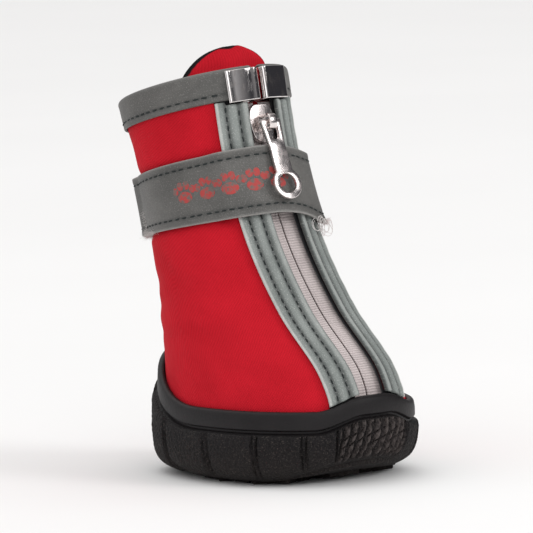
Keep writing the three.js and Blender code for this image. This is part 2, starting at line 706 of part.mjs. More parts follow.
// Slider: front and back plates held apart by the neck, with the bail over the front plate
function slider() {
  const half = SLIDER_WIDTH / 2;
  const top = SLIDER_LENGTH / 2;
  const tail = 0.62 * half;
  const waist = new THREE.Vector2(0.9 * half, -0.4 * top);
  const widest = 0.25 * top;
  const crown = 0.4 * half;
  const shoulder = new THREE.Shape();
  shoulder.moveTo(-tail, -top);
  shoulder.lineTo(tail, -top);
  shoulder.quadraticCurveTo(waist.x, waist.y, half, widest);
  shoulder.quadraticCurveTo(half, top, crown, top);
  shoulder.lineTo(-crown, top);
  shoulder.quadraticCurveTo(-half, top, -half, widest);
  shoulder.quadraticCurveTo(-waist.x, waist.y, -tail, -top);
  const front = plate(shoulder, PLATE_NEAR, PLATE_FAR, 5);
  const back = plate(shoulder, BACK_FAR - BACK_PLATE, BACK_FAR, 5);
  const neckDepth = PLATE_NEAR - BACK_FAR + BAIL_BAR;
  const neckAt = new THREE.Vector3(0, -(PLATE_NEAR + BACK_FAR) / 2, top - NECK_LENGTH / 2);
  const neck = block(neckAt, new THREE.Vector3(NECK_WIDTH, neckDepth, NECK_LENGTH));

  const reach = BAIL_LENGTH / 2;
  const crest = PIVOT_OUT + BAIL_PLAY + BAIL_BAR;
  const root = PLATE_FAR - BAIL_BAR / 2;
  const bend = crest - BAIL_CORNER;
  const arch = new THREE.Shape();
  arch.moveTo(-reach, root);
  arch.lineTo(reach, root);
  arch.lineTo(reach, bend);
  arch.absarc(reach - BAIL_CORNER, bend, BAIL_CORNER, 0, Math.PI / 2);
  arch.absarc(BAIL_CORNER - reach, bend, BAIL_CORNER, Math.PI / 2, Math.PI);
  const tunnel = reach - BAIL_BAR;
  const low = PLATE_FAR + BAIL_BAR / 2;
  const high = crest - BAIL_BAR;
  const eye = [[-tunnel, low], [tunnel, low], [tunnel, high], [-tunnel, high]];
  arch.holes.push(new THREE.Path(eye.map(([u, v]) => new THREE.Vector2(u, v))));
  // The arch is drawn along the zip and outwards, and extruded across the zip
  const bail = prism(arch, -BAIL_WIDTH / 2, BAIL_WIDTH / 2, 4).applyMatrix4(new THREE.Matrix4().set(
    0, 0, 1, 0,
    0, -1, 0, 0,
    1, 0, 0, 0,
    0, 0, 0, 1,
  ));
  return fromSolid([back, neck, bail].reduce((body, piece) => body.add(toSolid(piece)), toSolid(front)));
}

// Pull tab about its pivot bar: a window round the bail, a tapering stem and a ring end
function pull() {
  const half = PULL_WIDTH / 2;
  const bar = PULL_BAR / 2;
  const ringAt = -(PULL_LENGTH - RING_RADIUS);
  const stem = half * STEM_SHARE;
  const from = Math.PI / 2 - radians(RING_FLANK);
  const to = radians(RING_FLANK) - 1.5 * Math.PI;
  const outline = new THREE.Shape();
  outline.moveTo(SHOULDER - half, bar);
  outline.lineTo(half - SHOULDER, bar);
  outline.quadraticCurveTo(half, bar, half, -SHOULDER);
  outline.lineTo(stem, -STEM_FOOT);
  outline.absarc(0, ringAt, RING_RADIUS, from, to, true);
  outline.lineTo(-stem, -STEM_FOOT);
  outline.lineTo(-half, -SHOULDER);
  outline.quadraticCurveTo(-half, bar, SHOULDER - half, bar);
  const open = BAIL_WIDTH / 2 + WINDOW_PLAY;
  const foot = 0.9 * open;
  const window = [[-open, -bar], [-foot, -WINDOW_FOOT], [foot, -WINDOW_FOOT], [open, -bar]];
  outline.holes.push(new THREE.Path(window.map(([x, z]) => new THREE.Vector2(x, z))));
  outline.holes.push(new THREE.Path().absarc(0, ringAt, RING_HOLE, 0, 2 * Math.PI));
  return fromSolid(toSolid(plate(outline, -PULL_THICK / 2, PULL_THICK / 2, 6)));
}

// Sheet-metal clamp folded round the end of the collar binding
function clip(side) {
  const out = GAP + BINDING_THICK + GAP + CROSS_EASE;
  const far = -WALL - out;
  const end = CLIP_START + CLIP_WIDTH;
  const fold = CLIP_START + CLIP_THICK;
  const corner = 0.5 * CLIP_THICK;
  const inset = 0.8 * CLIP_THICK;
  const front = steps(end, fold + corner, 3);
  const back = front.slice().reverse();
  const outerPath = [
    ...front.map((d) => [d, out + CLIP_THICK]),
    [CLIP_START, out - corner],
    [CLIP_START, far + corner],
    ...back.map((d) => [d, far - CLIP_THICK]),
  ];
  const innerPath = [
    ...front.map((d) => [d, out]),
    [fold, out - inset],
    [fold, far + inset],
    ...back.map((d) => [d, far]),
  ];
  const levels = steps(collarLevel(-BINDING_HEIGHT - CLIP_OVERHANG), collarLevel(CLIP_RISE), 2);
  const place = (level) => ([d, offset]) => lastPoint(turnAside(1, side * d), level, offset);
  return sheet(levels.map((level) => ({
    outer: outerPath.map(place(level)),
    inner: innerPath.map(place(level)),
  })), false);
}

// Plain flap behind the zip, rounded off above the collar and drawn a little to one side. Its middle is
// set back behind the slider, and its sides come forward to the inside of the upper.
function tongue() {
  const foot = levelAt(0, TONGUE_FOOT);
  const head = collarLevel(TONGUE_RISE);
  const near = BACK_FAR - GAP;
  const tip = steps(0, Math.PI / 2, 5).slice(1).map((angle) => lerp(1, head, Math.sin(angle)));
  const levels = [...stripLevels(foot, 1), ...tip];
  const taper = collarLevel(-TONGUE_TAPER);
  const sections = levels.map((level) => {
    const top = Math.max(0, (level - taper) / (head - taper));
    const half = TONGUE_HALF * Math.max(TONGUE_TIP_SHARE, 1 - top ** TONGUE_ROUND) ** (1 / TONGUE_ROUND);
    const drift = TONGUE_DRIFT * smooth(0.5, 1, level);
    const setBack = TONGUE_SET_BACK * smooth(foot, 0.86, level);
    const across = steps(-half, half, 8).map((distance) => {
      const offset = near - setBack * (1 - smooth(...TONGUE_WINGS, Math.abs(distance)));
      return { turn: turnAside(level, distance + drift, offset), offset };
    });
    return {
      outer: across.map(({ turn, offset }) => lastPoint(turn, level, offset)),
      inner: across.map(({ turn, offset }) => lastPoint(turn, level, offset - TONGUE_THICK)),
    };
  });
  return sheet(sections, false);
}

// Ankle strap: one band that laps over its own start at the back of the shaft. It lifts over the two
// facings and over itself, and it sags a little on the side away from the lap.
const OVER_FACING = FACING_SEAT + FACING_THICK + FACING_LIP;
const OVER_SELF = 2 * GAP + STRAP_THICK + CURVE_EASE;

function strapSeat(degrees) {
  const front = OVER_FACING * smooth(...STRAP_ON_TURNS, degrees) * (1 - smooth(...STRAP_OFF_TURNS, degrees));
  const lap = OVER_SELF * smooth(...STRAP_LAP_TURNS, degrees - STRAP_START);
  return GAP + CURVE_EASE + Math.max(front, lap);
}

function strapSag(degrees) {
  return STRAP_SAG * smooth(...SAG_TURNS, degrees) * (1 - smooth(...RISE_TURNS, degrees));
}

function strap() {
  const count = Math.round((STRAP_END - STRAP_START) / STRAP_SECTION_TURN);
  return sheet(steps(STRAP_START, STRAP_END, count).map((degrees) => {
    const seat = strapSeat(degrees);
    const top = -STRAP_DROP - strapSag(degrees);
    const levels = steps(collarLevel(top - STRAP_WIDTH), collarLevel(top), 2);
    return {
      outer: levels.map((level) => lastPoint(radians(degrees), level, seat + STRAP_THICK)),
      inner: levels.map((level) => lastPoint(radians(degrees), level, seat)),
    };
  }), false);
}

// Assembly

const group = new THREE.Group();

function add(name, geometry, look) {
  const bare = geometry.index ? geometry.toNonIndexed() : geometry;
  const mesh = new THREE.Mesh(bare, new THREE.MeshStandardMaterial(COLOURS[look]));
  mesh.name = name;
  group.add(mesh);
  return mesh;
}

add('outsole', outsole(), 'rubber');
add('insole', insole(), 'foam');
add('upper', upper(), 'softshell');
add('tongue', tongue(), 'softshell');
add('collar_binding', collarBinding(), 'webbing');
for (const [name, side] of [['right', 1], ['left', -1]]) {
  add(`facing_${name}`, facing(side), 'webbing');
  add(`zip_tape_${name}`, zipTape(side), 'tape');
  add(`clip_${name}`, clip(side), 'metal');
}
add('strap', strap(), 'webbing');
onSlider(add('slider', slider(), 'metal'), 0, 0);

// The tab hangs from its bar and leans out just enough to lie over the strap's upper edge
const strapFace = GAP + OVER_FACING + STRAP_THICK;
const pullOut = strapFace + 2 * GAP + PULL_THICK / 2;
const pullLean = Math.atan2(pullOut - PIVOT_OUT, STRAP_DROP - SLIDER_DROP);
const tab = onSlider(add('pull', pull(), 'metal'), 0, PIVOT_OUT);
tab.rotation.x = zipTilt - Math.max(0, pullLean);

export default group;
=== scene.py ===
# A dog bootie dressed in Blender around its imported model, as a lesson in cells.

# %% [markdown]
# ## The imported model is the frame
# The bootie's solids come from the workshop model in metres, standing on the floor with the toe
# towards -Y. Every piece below is made in that same place, so nothing is fitted by eye.
# Working from a fixed frame keeps the finished looks and the real sizes together.

# %% Load the frame
import bmesh
import bpy
import numpy as np
from mathutils import Matrix, Vector


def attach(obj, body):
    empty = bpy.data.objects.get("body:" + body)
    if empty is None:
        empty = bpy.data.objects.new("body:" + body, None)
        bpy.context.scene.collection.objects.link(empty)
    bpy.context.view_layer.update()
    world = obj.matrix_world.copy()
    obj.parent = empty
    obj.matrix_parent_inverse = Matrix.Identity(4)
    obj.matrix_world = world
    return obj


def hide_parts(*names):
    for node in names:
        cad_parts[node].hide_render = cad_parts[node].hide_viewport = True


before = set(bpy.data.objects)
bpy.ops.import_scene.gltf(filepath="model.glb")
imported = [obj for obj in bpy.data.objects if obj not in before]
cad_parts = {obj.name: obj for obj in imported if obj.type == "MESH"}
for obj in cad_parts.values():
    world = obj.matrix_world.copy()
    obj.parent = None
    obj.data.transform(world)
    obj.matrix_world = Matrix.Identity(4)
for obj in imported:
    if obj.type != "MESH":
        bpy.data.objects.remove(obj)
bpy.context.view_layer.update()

MM = 0.001

# %% [markdown]
# ## The camera
# The photo was taken with a long lens from the front, a little to the bootie's own right side.
# Its direction, and its small roll, were worked out from the outline of the sole and the collar.
# A long lens far away keeps the upright lines of the shaft nearly parallel, as they are in the photo.
# The plain view of colours keeps a strong red as strong as its paint, where the filmic one pales it.

# %% Place the camera
CAMERA_BACK = np.array([-0.608, -0.786, 0.108])
CAMERA_UP = np.array([0.0963, 0.0628, 0.9933])
CAMERA_AIM = np.array([0.0016, 0.0067, 0.0573])
CAMERA_DISTANCE = 2.4
FRAME_WIDTH = 0.150
SENSOR = 36.0

back = CAMERA_BACK / np.linalg.norm(CAMERA_BACK)
right = np.cross(CAMERA_UP, back)
right /= np.linalg.norm(right)
up = np.cross(back, right)
camera = bpy.data.objects.new("camera", bpy.data.cameras.new("camera"))
camera.data.sensor_width = SENSOR
camera.data.lens = SENSOR * CAMERA_DISTANCE / FRAME_WIDTH
camera.data.clip_start, camera.data.clip_end = 0.05, 100
facing = Matrix(np.array([right, up, back]).T).to_4x4()
camera.matrix_world = Matrix.Translation(CAMERA_AIM + back * CAMERA_DISTANCE) @ facing
bpy.context.scene.collection.objects.link(camera)
bpy.context.scene.camera = camera
bpy.context.scene.view_settings.view_transform = "Standard"
print("lens in mm:", round(camera.data.lens))

# %% [markdown]
# ## The last, as a function
# A bootie is sewn over a last. One function gives any point of it from three numbers: the turn
# around it, the level up it and the distance out from its surface. Each level is a superellipse in a
# tilted plane. Every sewn piece is then a patch of that function, so all of them nest like the
# real layers, and a fold or a lift is only a change of the distance out.

# %% Sizes of the last in millimetres, and its sections
LAST_LENGTH, BALL_WIDTH = 78, 56
COLLAR_FRONT, COLLAR_BACK = 113.5, 100.5
TOE_SPRING, SPRING_START = 5.0, 18.0
COLUMNS = ["level", "front", "front_rise", "back", "back_rise", "half", "middle", "square"]
SECTIONS = np.array([
    [0.00, -0.500, 0.018, 0.487, 0.020, 0.500, 0.50, 2.25],
    [0.14, -0.528, 0.159, 0.492, 0.159, 0.505, 0.49, 2.20],
    [0.28, -0.492, 0.266, 0.500, 0.279, 0.478, 0.48, 2.05],
    [0.46, -0.263, 0.419, 0.513, 0.428, 0.443, 0.48, 2.00],
    [0.62, -0.097, 0.577, 0.545, 0.577, 0.410, 0.50, 2.00],
    [0.80, 0.017, 0.775, 0.609, 0.766, 0.389, 0.50, 2.00],
    [1.00, 0.083, 1.000, 0.712, 1.000, 0.396, 0.50, 2.00],
])


def smooth(start, end, x):
    """0 before start, 1 after end, and 3t^2 - 2t^3 between them."""
    t = np.clip((np.asarray(x, float) - start) / (end - start), 0, 1)
    return t * t * (3 - 2 * t)


def bell(centre, width, x):
    """A soft bump of height 1: e to the minus square of the distance over the width."""
    return np.exp(-((np.asarray(x, float) - centre) / width) ** 2)


def signed_power(values, exponent):
    """Values raised to a power with their signs kept, which squares up a circle."""
    return np.sign(values) * np.abs(values) ** exponent


def column(name, level):
    """A column of the table at any level: an eased step between two rows, plus the slopes at both."""
    rows, values = SECTIONS[:, 0], SECTIONS[:, COLUMNS.index(name)]
    step = np.diff(rows)
    secant = np.diff(values) / step
    inner = (secant[:-1] * step[1:] + secant[1:] * step[:-1]) / (step[1:] + step[:-1])
    slope = np.concatenate([secant[:1], inner, secant[-1:]])
    i = np.clip(np.searchsorted(rows, level, side="right") - 1, 0, len(step) - 1)
    u = (level - rows[i]) / step[i]
    eased = values[i] + (values[i + 1] - values[i]) * u * u * (3 - 2 * u)
    return eased + step[i] * (u * (1 - u) ** 2 * slope[i] + u * u * (u - 1) * slope[i + 1])


def spring_at(y):
    """Lift of the sole under the toe: it grows with the square of the way past where it starts."""
    return TOE_SPRING * (np.maximum(0, -y - SPRING_START) / (LAST_LENGTH / 2 - SPRING_START)) ** 2


def section_point(turn, level, offset):
    """A superellipse about the line from front to back of its level, moved out along its normal."""
    turn, level, offset = np.broadcast_arrays(*(np.asarray(v, float) for v in (turn, level, offset)))
    front_y, front_z = column("front", level) * LAST_LENGTH, column("front_rise", level) * COLLAR_FRONT
    back_y, back_z = column("back", level) * LAST_LENGTH, column("back_rise", level) * COLLAR_BACK
    depth = np.hypot(front_y - back_y, front_z - back_z)
    middle, square = column("middle", level), column("square", level)
    half = column("half", level) * BALL_WIDTH
    c, s = np.cos(turn), np.sin(turn)
    reach = np.where(c >= 0, 1 - middle, middle) * depth
    forward = reach * signed_power(c, 2 / square)
    aside = half * signed_power(s, 2 / square)
    nx = np.sign(s) * np.abs(aside / half) ** (square - 1) / half
    ny = np.sign(c) * np.abs(forward / reach) ** (square - 1) / reach
    norm = np.hypot(nx, ny)
    along = (middle * depth + forward + offset * ny / norm) / depth
    y = back_y + (front_y - back_y) * along
    z = back_z + (front_z - back_z) * along
    lifted = z + spring_at(y) * (1 - smooth(0, 0.28, level))
    return np.stack([-(aside + offset * nx / norm), y, lifted], -1)


def last_point(turn, level, offset):
    """The same, carried on in a straight line above the collar at level 1."""
    level = np.asarray(level, float)
    over = np.maximum(level - 1, 0)
    run = (section_point(turn, 1.0, offset) - section_point(turn, 0.98, offset)) / 0.02
    return section_point(turn, np.minimum(level, 1), offset) + run * over[..., None]


SHAFT_PER_LEVEL = np.linalg.norm(section_point(0, 1, 0) - section_point(0, 0.98, 0)) / 0.02


def collar_level(rise):
    """Level a distance above the collar's edge, or below it when the distance is negative."""
    return 1 + np.asarray(rise, float) / SHAFT_PER_LEVEL


def level_at(turn, height, offset=0.0):
    """Level where the last reaches a height, by halving the range again and again."""
    turn, height, offset = np.broadcast_arrays(*(np.asarray(v, float) for v in (turn, height, offset)))
    low, high = np.zeros(turn.shape), np.ones(turn.shape)
    for _ in range(26):
        middle = (low + high) / 2
        under = section_point(turn, middle, offset)[..., 2] < height
        low, high = np.where(under, middle, low), np.where(under, high, middle)
    return (low + high) / 2


def turn_aside(level, distance, offset=0.0):
    """Turn of a point a distance aside from the front line, on the surface at an offset from the last."""
    at = np.minimum(level, 1)
    share = np.clip(np.abs(distance) / (column("half", at) * BALL_WIDTH + offset), 0, 1)
    return np.sign(distance) * np.arcsin(share ** (column("square", at) / 2))


print("collar front:", section_point(0, 1, 0).round(1), "heel:", section_point(np.pi, 0.14, 0).round(1))

# %% [markdown]
# ## From arrays to meshes
# A piece of cloth has two faces and a rounded edge. One helper takes a grid of turns and levels,
# reads the last at its outer and inner distance, and closes the rim between them. Near the rim both
# faces ease towards each other along a quarter circle, which is what makes a cut edge look thick.
# The grid's own arc lengths, in metres, become the UV map, so that a weave has its real scale.

# %% Mesh helpers


def spread(length, step, edge):
    """Places along a strip: quarter-circle steps inside each rounded edge, even steps between."""
    corner = edge * (1 - np.cos(np.linspace(0, np.pi / 2, 5)))
    middle = np.linspace(edge, length - edge, max(3, int(length / step)))[1:-1]
    return np.concatenate([corner, middle, length - corner[::-1]])


def grid_faces(rows, count, wrap=False, start=0):
    """Quads between neighbouring rows of a grid, closed around each row if wrap is set."""
    i = np.arange(rows - 1)[:, None] * count
    j = np.arange(count if wrap else count - 1)[None, :]
    k = (j + 1) % count
    return start + np.stack([i + j, i + k, i + count + k, i + count + j], -1).reshape(-1, 4)


def outward(points, faces):
    """The faces in an order that gives the closed mesh a positive volume."""
    a, b, c, d = (points[faces[:, k]] for k in range(4))
    volume = (a * np.cross(b, c)).sum() + (a * np.cross(c, d)).sum()
    return faces if volume > 0 else faces[:, ::-1]


def new_object(name, points, faces, uv=None, marks=None, sharp=None):
    """A mesh object from points in millimetres and faces. Marks are numbers kept at each point."""
    mesh = bpy.data.meshes.new(name)
    rows = faces.tolist() if isinstance(faces, np.ndarray) else faces
    mesh.from_pydata((np.asarray(points) * MM).tolist(), [], [[*dict.fromkeys(f)] for f in rows])
    mesh.polygons.foreach_set("use_smooth", np.ones(len(mesh.polygons), bool))
    if uv is not None:
        corner = np.zeros(len(mesh.loops), np.int32)
        mesh.loops.foreach_get("vertex_index", corner)
        mesh.uv_layers.new(name="UVMap").data.foreach_set("uv", (uv[corner] * MM).astype(np.float32).ravel())
    for key, values in (marks or {}).items():
        kept = mesh.attributes.new(key, "FLOAT", "POINT")
        kept.data.foreach_set("value", values.astype(np.float32).ravel())
    if sharp:
        mesh.set_sharp_from_angle(angle=np.radians(sharp))
    made = bpy.data.objects.new(name, mesh)
    bpy.context.scene.collection.objects.link(made)
    return made


def lengths(points, axis):
    """Arc length along one axis of a grid of points, starting at 0."""
    step = np.linalg.norm(np.diff(points, axis=axis), axis=-1)
    return np.concatenate([np.zeros_like(np.take(step, [0], axis)), np.cumsum(step, axis)], axis)


def on_last(turn, level):
    """A grid on the last, as a function of the distance out."""
    return lambda out: last_point(turn, level, out)


def two_faced(name, place, top, thick, edge, marks=None, lining=False):
    """A closed sheet: place(distance out) gives its grid, top its outer face, thick its wall.
    Within edge of the rim each face eases in by edge times one minus the circle's height."""
    flat = place(top)
    along, across = lengths(flat, 0), lengths(flat, 1)
    rim = np.minimum(np.minimum(along, along[-1:] - along), np.minimum(across, across[:, -1:] - across))
    edge = np.minimum(edge, 0.46 * thick)
    ease = edge * (1 - np.sqrt(1 - (1 - np.clip(rim / edge, 0, 1)) ** 2))
    rows, count = flat.shape[:2]
    size = rows * count
    points = np.concatenate([place(top - ease).reshape(-1, 3), place(top - thick + ease).reshape(-1, 3)])
    faces = [grid_faces(rows, count), grid_faces(rows, count, start=size)[:, ::-1]]
    at = np.arange(size).reshape(rows, count)
    for line in (at[0], at[-1][::-1], at[:, 0][::-1], at[:, -1]):
        faces.append(np.stack([line[1:], line[:-1], line[:-1] + size, line[1:] + size], -1))
    faces = np.concatenate(faces)
    turned = outward(points, faces)
    uv = np.stack([along, across], -1).reshape(-1, 2)
    kept = {key: np.concatenate([v.ravel(), v.ravel()]) for key, v in (marks or {}).items()}
    made = new_object(name, points, turned, np.concatenate([uv, uv]), kept)
    if lining:
        inner = np.zeros(len(faces), np.int32)
        inner[(rows - 1) * (count - 1):] = 1
        made.data.polygons.foreach_set("material_index", inner)
    return made


def ring_body(rings, foot, head):
    """Points and faces of a body stacked from rings of equal count, closed to a point at each end."""
    rings = np.asarray(rings)
    rows, count = rings.shape[:2]
    points = np.concatenate([[foot], rings.reshape(-1, 3), [head]])
    j = np.arange(count)
    k = (j + 1) % count
    low = np.stack([np.zeros_like(j), 1 + k, 1 + j, 1 + j], -1)
    last = 1 + (rows - 1) * count
    high = np.stack([np.full_like(j, len(points) - 1), last + j, last + k, last + k], -1)
    return points, outward(points, np.concatenate([low, grid_faces(rows, count, True, 1), high]))


def swept(path, side, rise, section, closed=False):
    """A bar along a path: each section point is moved by its two numbers along side and rise."""
    ring = path[:, None] + side[:, None] * section[None, :, :1] + rise[:, None] * section[None, :, 1:]
    rows, count = ring.shape[:2]
    if not closed:
        return ring_body(ring, ring[0].mean(0), ring[-1].mean(0))
    points = ring.reshape(-1, 3)
    return points, outward(points, grid_faces(rows + 1, count, True) % (rows * count))


def frames(path, reference):
    """Two directions across a path, from the cross product of its tangent with a reference."""
    tangent = np.gradient(path, axis=0)
    tangent /= np.linalg.norm(tangent, axis=1, keepdims=True)
    side = np.cross(tangent, reference)
    side /= np.linalg.norm(side, axis=1, keepdims=True)
    return side, np.cross(side, tangent)


def round_section(width, height, sides):
    """Ellipse of the given width and height as points."""
    turn = np.linspace(0, 2 * np.pi, sides, endpoint=False)
    return np.stack([width / 2 * np.cos(turn), height / 2 * np.sin(turn)], -1)


def joined(parts):
    """One list of points and faces from several, for faces of any number of corners."""
    shift = np.cumsum([0] + [len(p) for p, _ in parts[:-1]]).tolist()
    lists = [part.tolist() if isinstance(part, np.ndarray) else part for _, part in parts]
    faces = [[v + s for v in face] for part, s in zip(lists, shift) for face in part]
    return np.concatenate([p for p, _ in parts]), faces


print("mesh helpers ready")

# %% [markdown]
# ## Finishes: small reusable effects
# Cloth, tape and rubber share a few effects: a diagonal weave, soft blotches of dye, a pebbled
# grain and fine scratches. Each is a node group with named inputs, used with its own numbers in
# each material. The shader itself stays in the material, and whatever is the same all over
# the surface, such as sheen, is a plain number on it.

# %% Node helpers


def paint(red, green, blue):
    """A screen colour from 0 to 255 as the linear colour that the shader wants."""
    c = np.array([red, green, blue]) / 255
    return (*np.where(c <= 0.04045, c / 12.92, ((c + 0.055) / 1.055) ** 2.4).tolist(), 1.0)


def node(tree, kind, values=None, **settings):
    """A node with its settings, and each input either a number or a link from another node."""
    made = tree.nodes.new(kind)
    for key, value in settings.items():
        setattr(made, key, value)
    for key, value in (values or {}).items():
        if isinstance(value, bpy.types.NodeSocket):
            tree.links.new(value, made.inputs[key])
        else:
            made.inputs[key].default_value = value
    return made


def maths(tree, operation, first, second=0.0, clamp=False):
    """One sum of two numbers or links."""
    values = {0: first, 1: second}
    return node(tree, "ShaderNodeMath", values, operation=operation, use_clamp=clamp).outputs[0]


def scaled(tree, value, scale, added):
    """A value times a scale, plus another value."""
    return node(tree, "ShaderNodeMath", {0: value, 1: scale, 2: added}, operation="MULTIPLY_ADD").outputs[0]


def remap(tree, value, low, high, to_low, to_high):
    """A straight-line change of range, held at both ends."""
    values = {"Value": value, "From Min": low, "From Max": high, "To Min": to_low, "To Max": to_high}
    return node(tree, "ShaderNodeMapRange", values).outputs[0]


def noise(tree, vector, scale, detail=3.0, rough=0.55):
    """Soft noise from 0 to 1, with its scale in bumps per metre."""
    values = {"Vector": vector, "Scale": scale, "Detail": detail, "Roughness": rough}
    return node(tree, "ShaderNodeTexNoise", values).outputs[0]


def blend(tree, share, first, second):
    """A mix of two colours."""
    made = node(tree, "ShaderNodeMix", {0: share}, data_type="RGBA")
    for slot, value in ((6, first), (7, second)):
        if isinstance(value, bpy.types.NodeSocket):
            tree.links.new(value, made.inputs[slot])
        else:
            made.inputs[slot].default_value = value
    return made.outputs[2]


def new_group(name, inputs, outputs):
    """An empty group with number and vector inputs and number outputs."""
    tree = bpy.data.node_groups.new(name, "ShaderNodeTree")
    for label in inputs:
        kind = "NodeSocketVector" if label == "Vector" else "NodeSocketFloat"
        tree.interface.new_socket(name=label, in_out="INPUT", socket_type=kind)
    for label in outputs:
        tree.interface.new_socket(name=label, in_out="OUTPUT", socket_type="NodeSocketFloat")
    return tree, tree.nodes.new("NodeGroupInput").outputs, tree.nodes.new("NodeGroupOutput").inputs


def use(tree, group, **values):
    """A group placed in a material with its own numbers."""
    return node(tree, "ShaderNodeGroup", values, node_tree=group).outputs


# %% Twill: diagonal ribs crossed by threads, with blotches of dye
twill, given, result = new_group("twill", ["Vector", "Threads", "Blotch"], ["Height", "Shade"])
axes = node(twill, "ShaderNodeSeparateXYZ", {0: given["Vector"]}).outputs
warp = maths(twill, "MULTIPLY", axes[0], given["Threads"])
weft = maths(twill, "MULTIPLY", axes[1], given["Threads"])
wale = maths(twill, "SINE", maths(twill, "MULTIPLY", maths(twill, "ADD", warp, weft), 2 * np.pi))
pick = maths(twill, "SINE", maths(twill, "MULTIPLY", weft, 4 * np.pi))
crossed = maths(twill, "MULTIPLY", wale, scaled(twill, pick, 0.3, 0.5))
woven = scaled(twill, crossed, 0.5, 0.5)
fuzz = noise(twill, given["Vector"], 2600, 2)
twill.links.new(scaled(twill, fuzz, 0.35, woven), result["Height"])
dye = noise(twill, given["Vector"], 60, 4)
mottle = maths(twill, "MULTIPLY", maths(twill, "SUBTRACT", dye, 0.5), given["Blotch"])
shade = maths(twill, "ADD", scaled(twill, woven, 0.35, 0.35), mottle, True)
twill.links.new(shade, result["Shade"])
print("twill nodes:", len(twill.nodes))

# %% Grain: pebbled rubber with pale specks, and scratches for metal
grain, given, result = new_group("grain", ["Vector", "Pebbles", "Specks"], ["Height", "Speck"])
cells = node(grain, "ShaderNodeTexVoronoi", {"Vector": given["Vector"], "Scale": given["Pebbles"]}).outputs[0]
rough_noise = noise(grain, given["Vector"], 1500, 3)
grain.links.new(maths(grain, "ADD", cells, rough_noise), result["Height"])
fine = noise(grain, given["Vector"], 2300, 2, 0.7)
patch = noise(grain, given["Vector"], 160, 3)
sparse = remap(grain, fine, 0.56, 0.74, 0.0, 1.0)
patchy = maths(grain, "MULTIPLY", sparse, patch)
grain.links.new(maths(grain, "MULTIPLY", patchy, given["Specks"], True), result["Speck"])

scratched, given, result = new_group("scratched", ["Vector", "Length"], ["Height", "Wear"])
stretching = {0: given["Vector"], 1: (1.0, 1.0, 0.12)}
stretch = node(scratched, "ShaderNodeVectorMath", stretching, operation="MULTIPLY").outputs[0]
lines = noise(scratched, stretch, given["Length"], 4, 0.7)
rubbed = noise(scratched, given["Vector"], 350, 3)
scratched.links.new(lines, result["Height"])
scratched.links.new(maths(scratched, "MULTIPLY", lines, rubbed), result["Wear"])
print("groups:", [g.name for g in bpy.data.node_groups])

# %% Start a material


def new_material(name, **plain):
    """A material with one shader, whose plain numbers are set by name."""
    made = bpy.data.materials.new(name)
    made.use_nodes = True
    tree = made.node_tree
    shader = tree.nodes["Principled BSDF"]
    for key, value in plain.items():
        shader.inputs[key.replace("_", " ").title().replace("Ior", "IOR")].default_value = value
    return made, tree, shader.inputs


def surface(tree, kind):
    """Where a pattern is read: UV, which is in metres along the cloth, or Object."""
    return node(tree, "ShaderNodeTexCoord").outputs[kind]


def mark(tree, name):
    """A number kept at each point of the mesh."""
    return node(tree, "ShaderNodeAttribute", attribute_name=name).outputs["Fac"]


def bump(tree, inputs, height, depth):
    """Bump of a real depth in metres, fed to the shader's normal."""
    made = node(tree, "ShaderNodeBump", {"Height": height, "Strength": 1.0, "Distance": depth})
    tree.links.new(made.outputs[0], inputs["Normal"])


def cloth(name, dark, light, threads, depth, blotch=0.5, space="UV", **plain):
    """A woven cloth: two tones of one dye, ribs at so many a metre, and any plain numbers given for the
    shader, such as sheen.
    """
    made, tree, inputs = new_material(name, **plain)
    woven = use(tree, twill, Vector=surface(tree, space), Threads=threads, Blotch=blotch)
    tree.links.new(blend(tree, woven["Shade"], dark, light), inputs["Base Color"])
    tree.links.new(remap(tree, woven["Shade"], 0.0, 1.0, 0.92, 0.72), inputs["Roughness"])
    bump(tree, inputs, woven["Height"], depth)
    return made


# %% [markdown]
# ## Finishes of this bootie
# The red is a brushed softshell with a fine twill. The grey is reflective tape: matt cloth with
# a dust of glass beads. The zip's tape is paler and ribbed, the metal is bright plating, and the
# sole is black rubber, smooth on its rim and pebbled on its wall.

# %% Cloths
lining = cloth("lining_black", paint(14, 14, 16), paint(38, 38, 42), 1800, 0.00012, 0.8,
               sheen_weight=0.2, specular_ior_level=0.2)
footbed_cloth = cloth("footbed_cloth", paint(20, 20, 22), paint(46, 46, 49), 900, 0.0002, 0.8,
                      "Object", specular_ior_level=0.2)
thread_dark = cloth("thread_dark", paint(22, 26, 26), paint(52, 58, 58), 2500, 0.00005, 0.6,
                    "Object", specular_ior_level=0.3)
thread_pale = cloth("thread_pale", paint(190, 184, 182), paint(236, 232, 230), 2500, 0.00005, 0.6,
                    "Object", specular_ior_level=0.3)


def reflective(name, dark, light, pale):
    """Reflective tape: a tight weave under glass beads that catch the light in tiny flecks.
    The mark called pale lightens folded or cut edges, and the second mark paints shade into sewn channels,
    dented stitch rows and the facings' edge by the zip."""
    made, tree, inputs = new_material(name, specular_ior_level=0.5)
    where = surface(tree, "UV")
    woven = use(tree, twill, Vector=where, Threads=1900, Blotch=1.3)
    beads = use(tree, grain, Vector=where, Pebbles=2600, Specks=1.6)
    plain = blend(tree, woven["Shade"], dark, light)
    edged = blend(tree, mark(tree, "pale"), plain, pale)
    handled = maths(tree, "MULTIPLY", noise(tree, where, 420, 4), 0.5)
    dulled = blend(tree, handled, edged, dark)
    # Painted shade: the tape is darkened along its sewn channels, its dented stitch rows and its edge beside
    # the zip's lip, where shade falls.
    seam_shaded = blend(tree, maths(tree, "MULTIPLY", mark(tree, "seam_shade"), 0.7), dulled, paint(34, 38, 38))
    flecks = maths(tree, "MULTIPLY", beads["Speck"], 0.5)
    tree.links.new(blend(tree, flecks, seam_shaded, pale), inputs["Base Color"])
    tree.links.new(remap(tree, woven["Shade"], 0.0, 1.0, 0.62, 0.46), inputs["Roughness"])
    bump(tree, inputs, maths(tree, "ADD", woven["Height"], beads["Height"]), 0.00006)
    return made


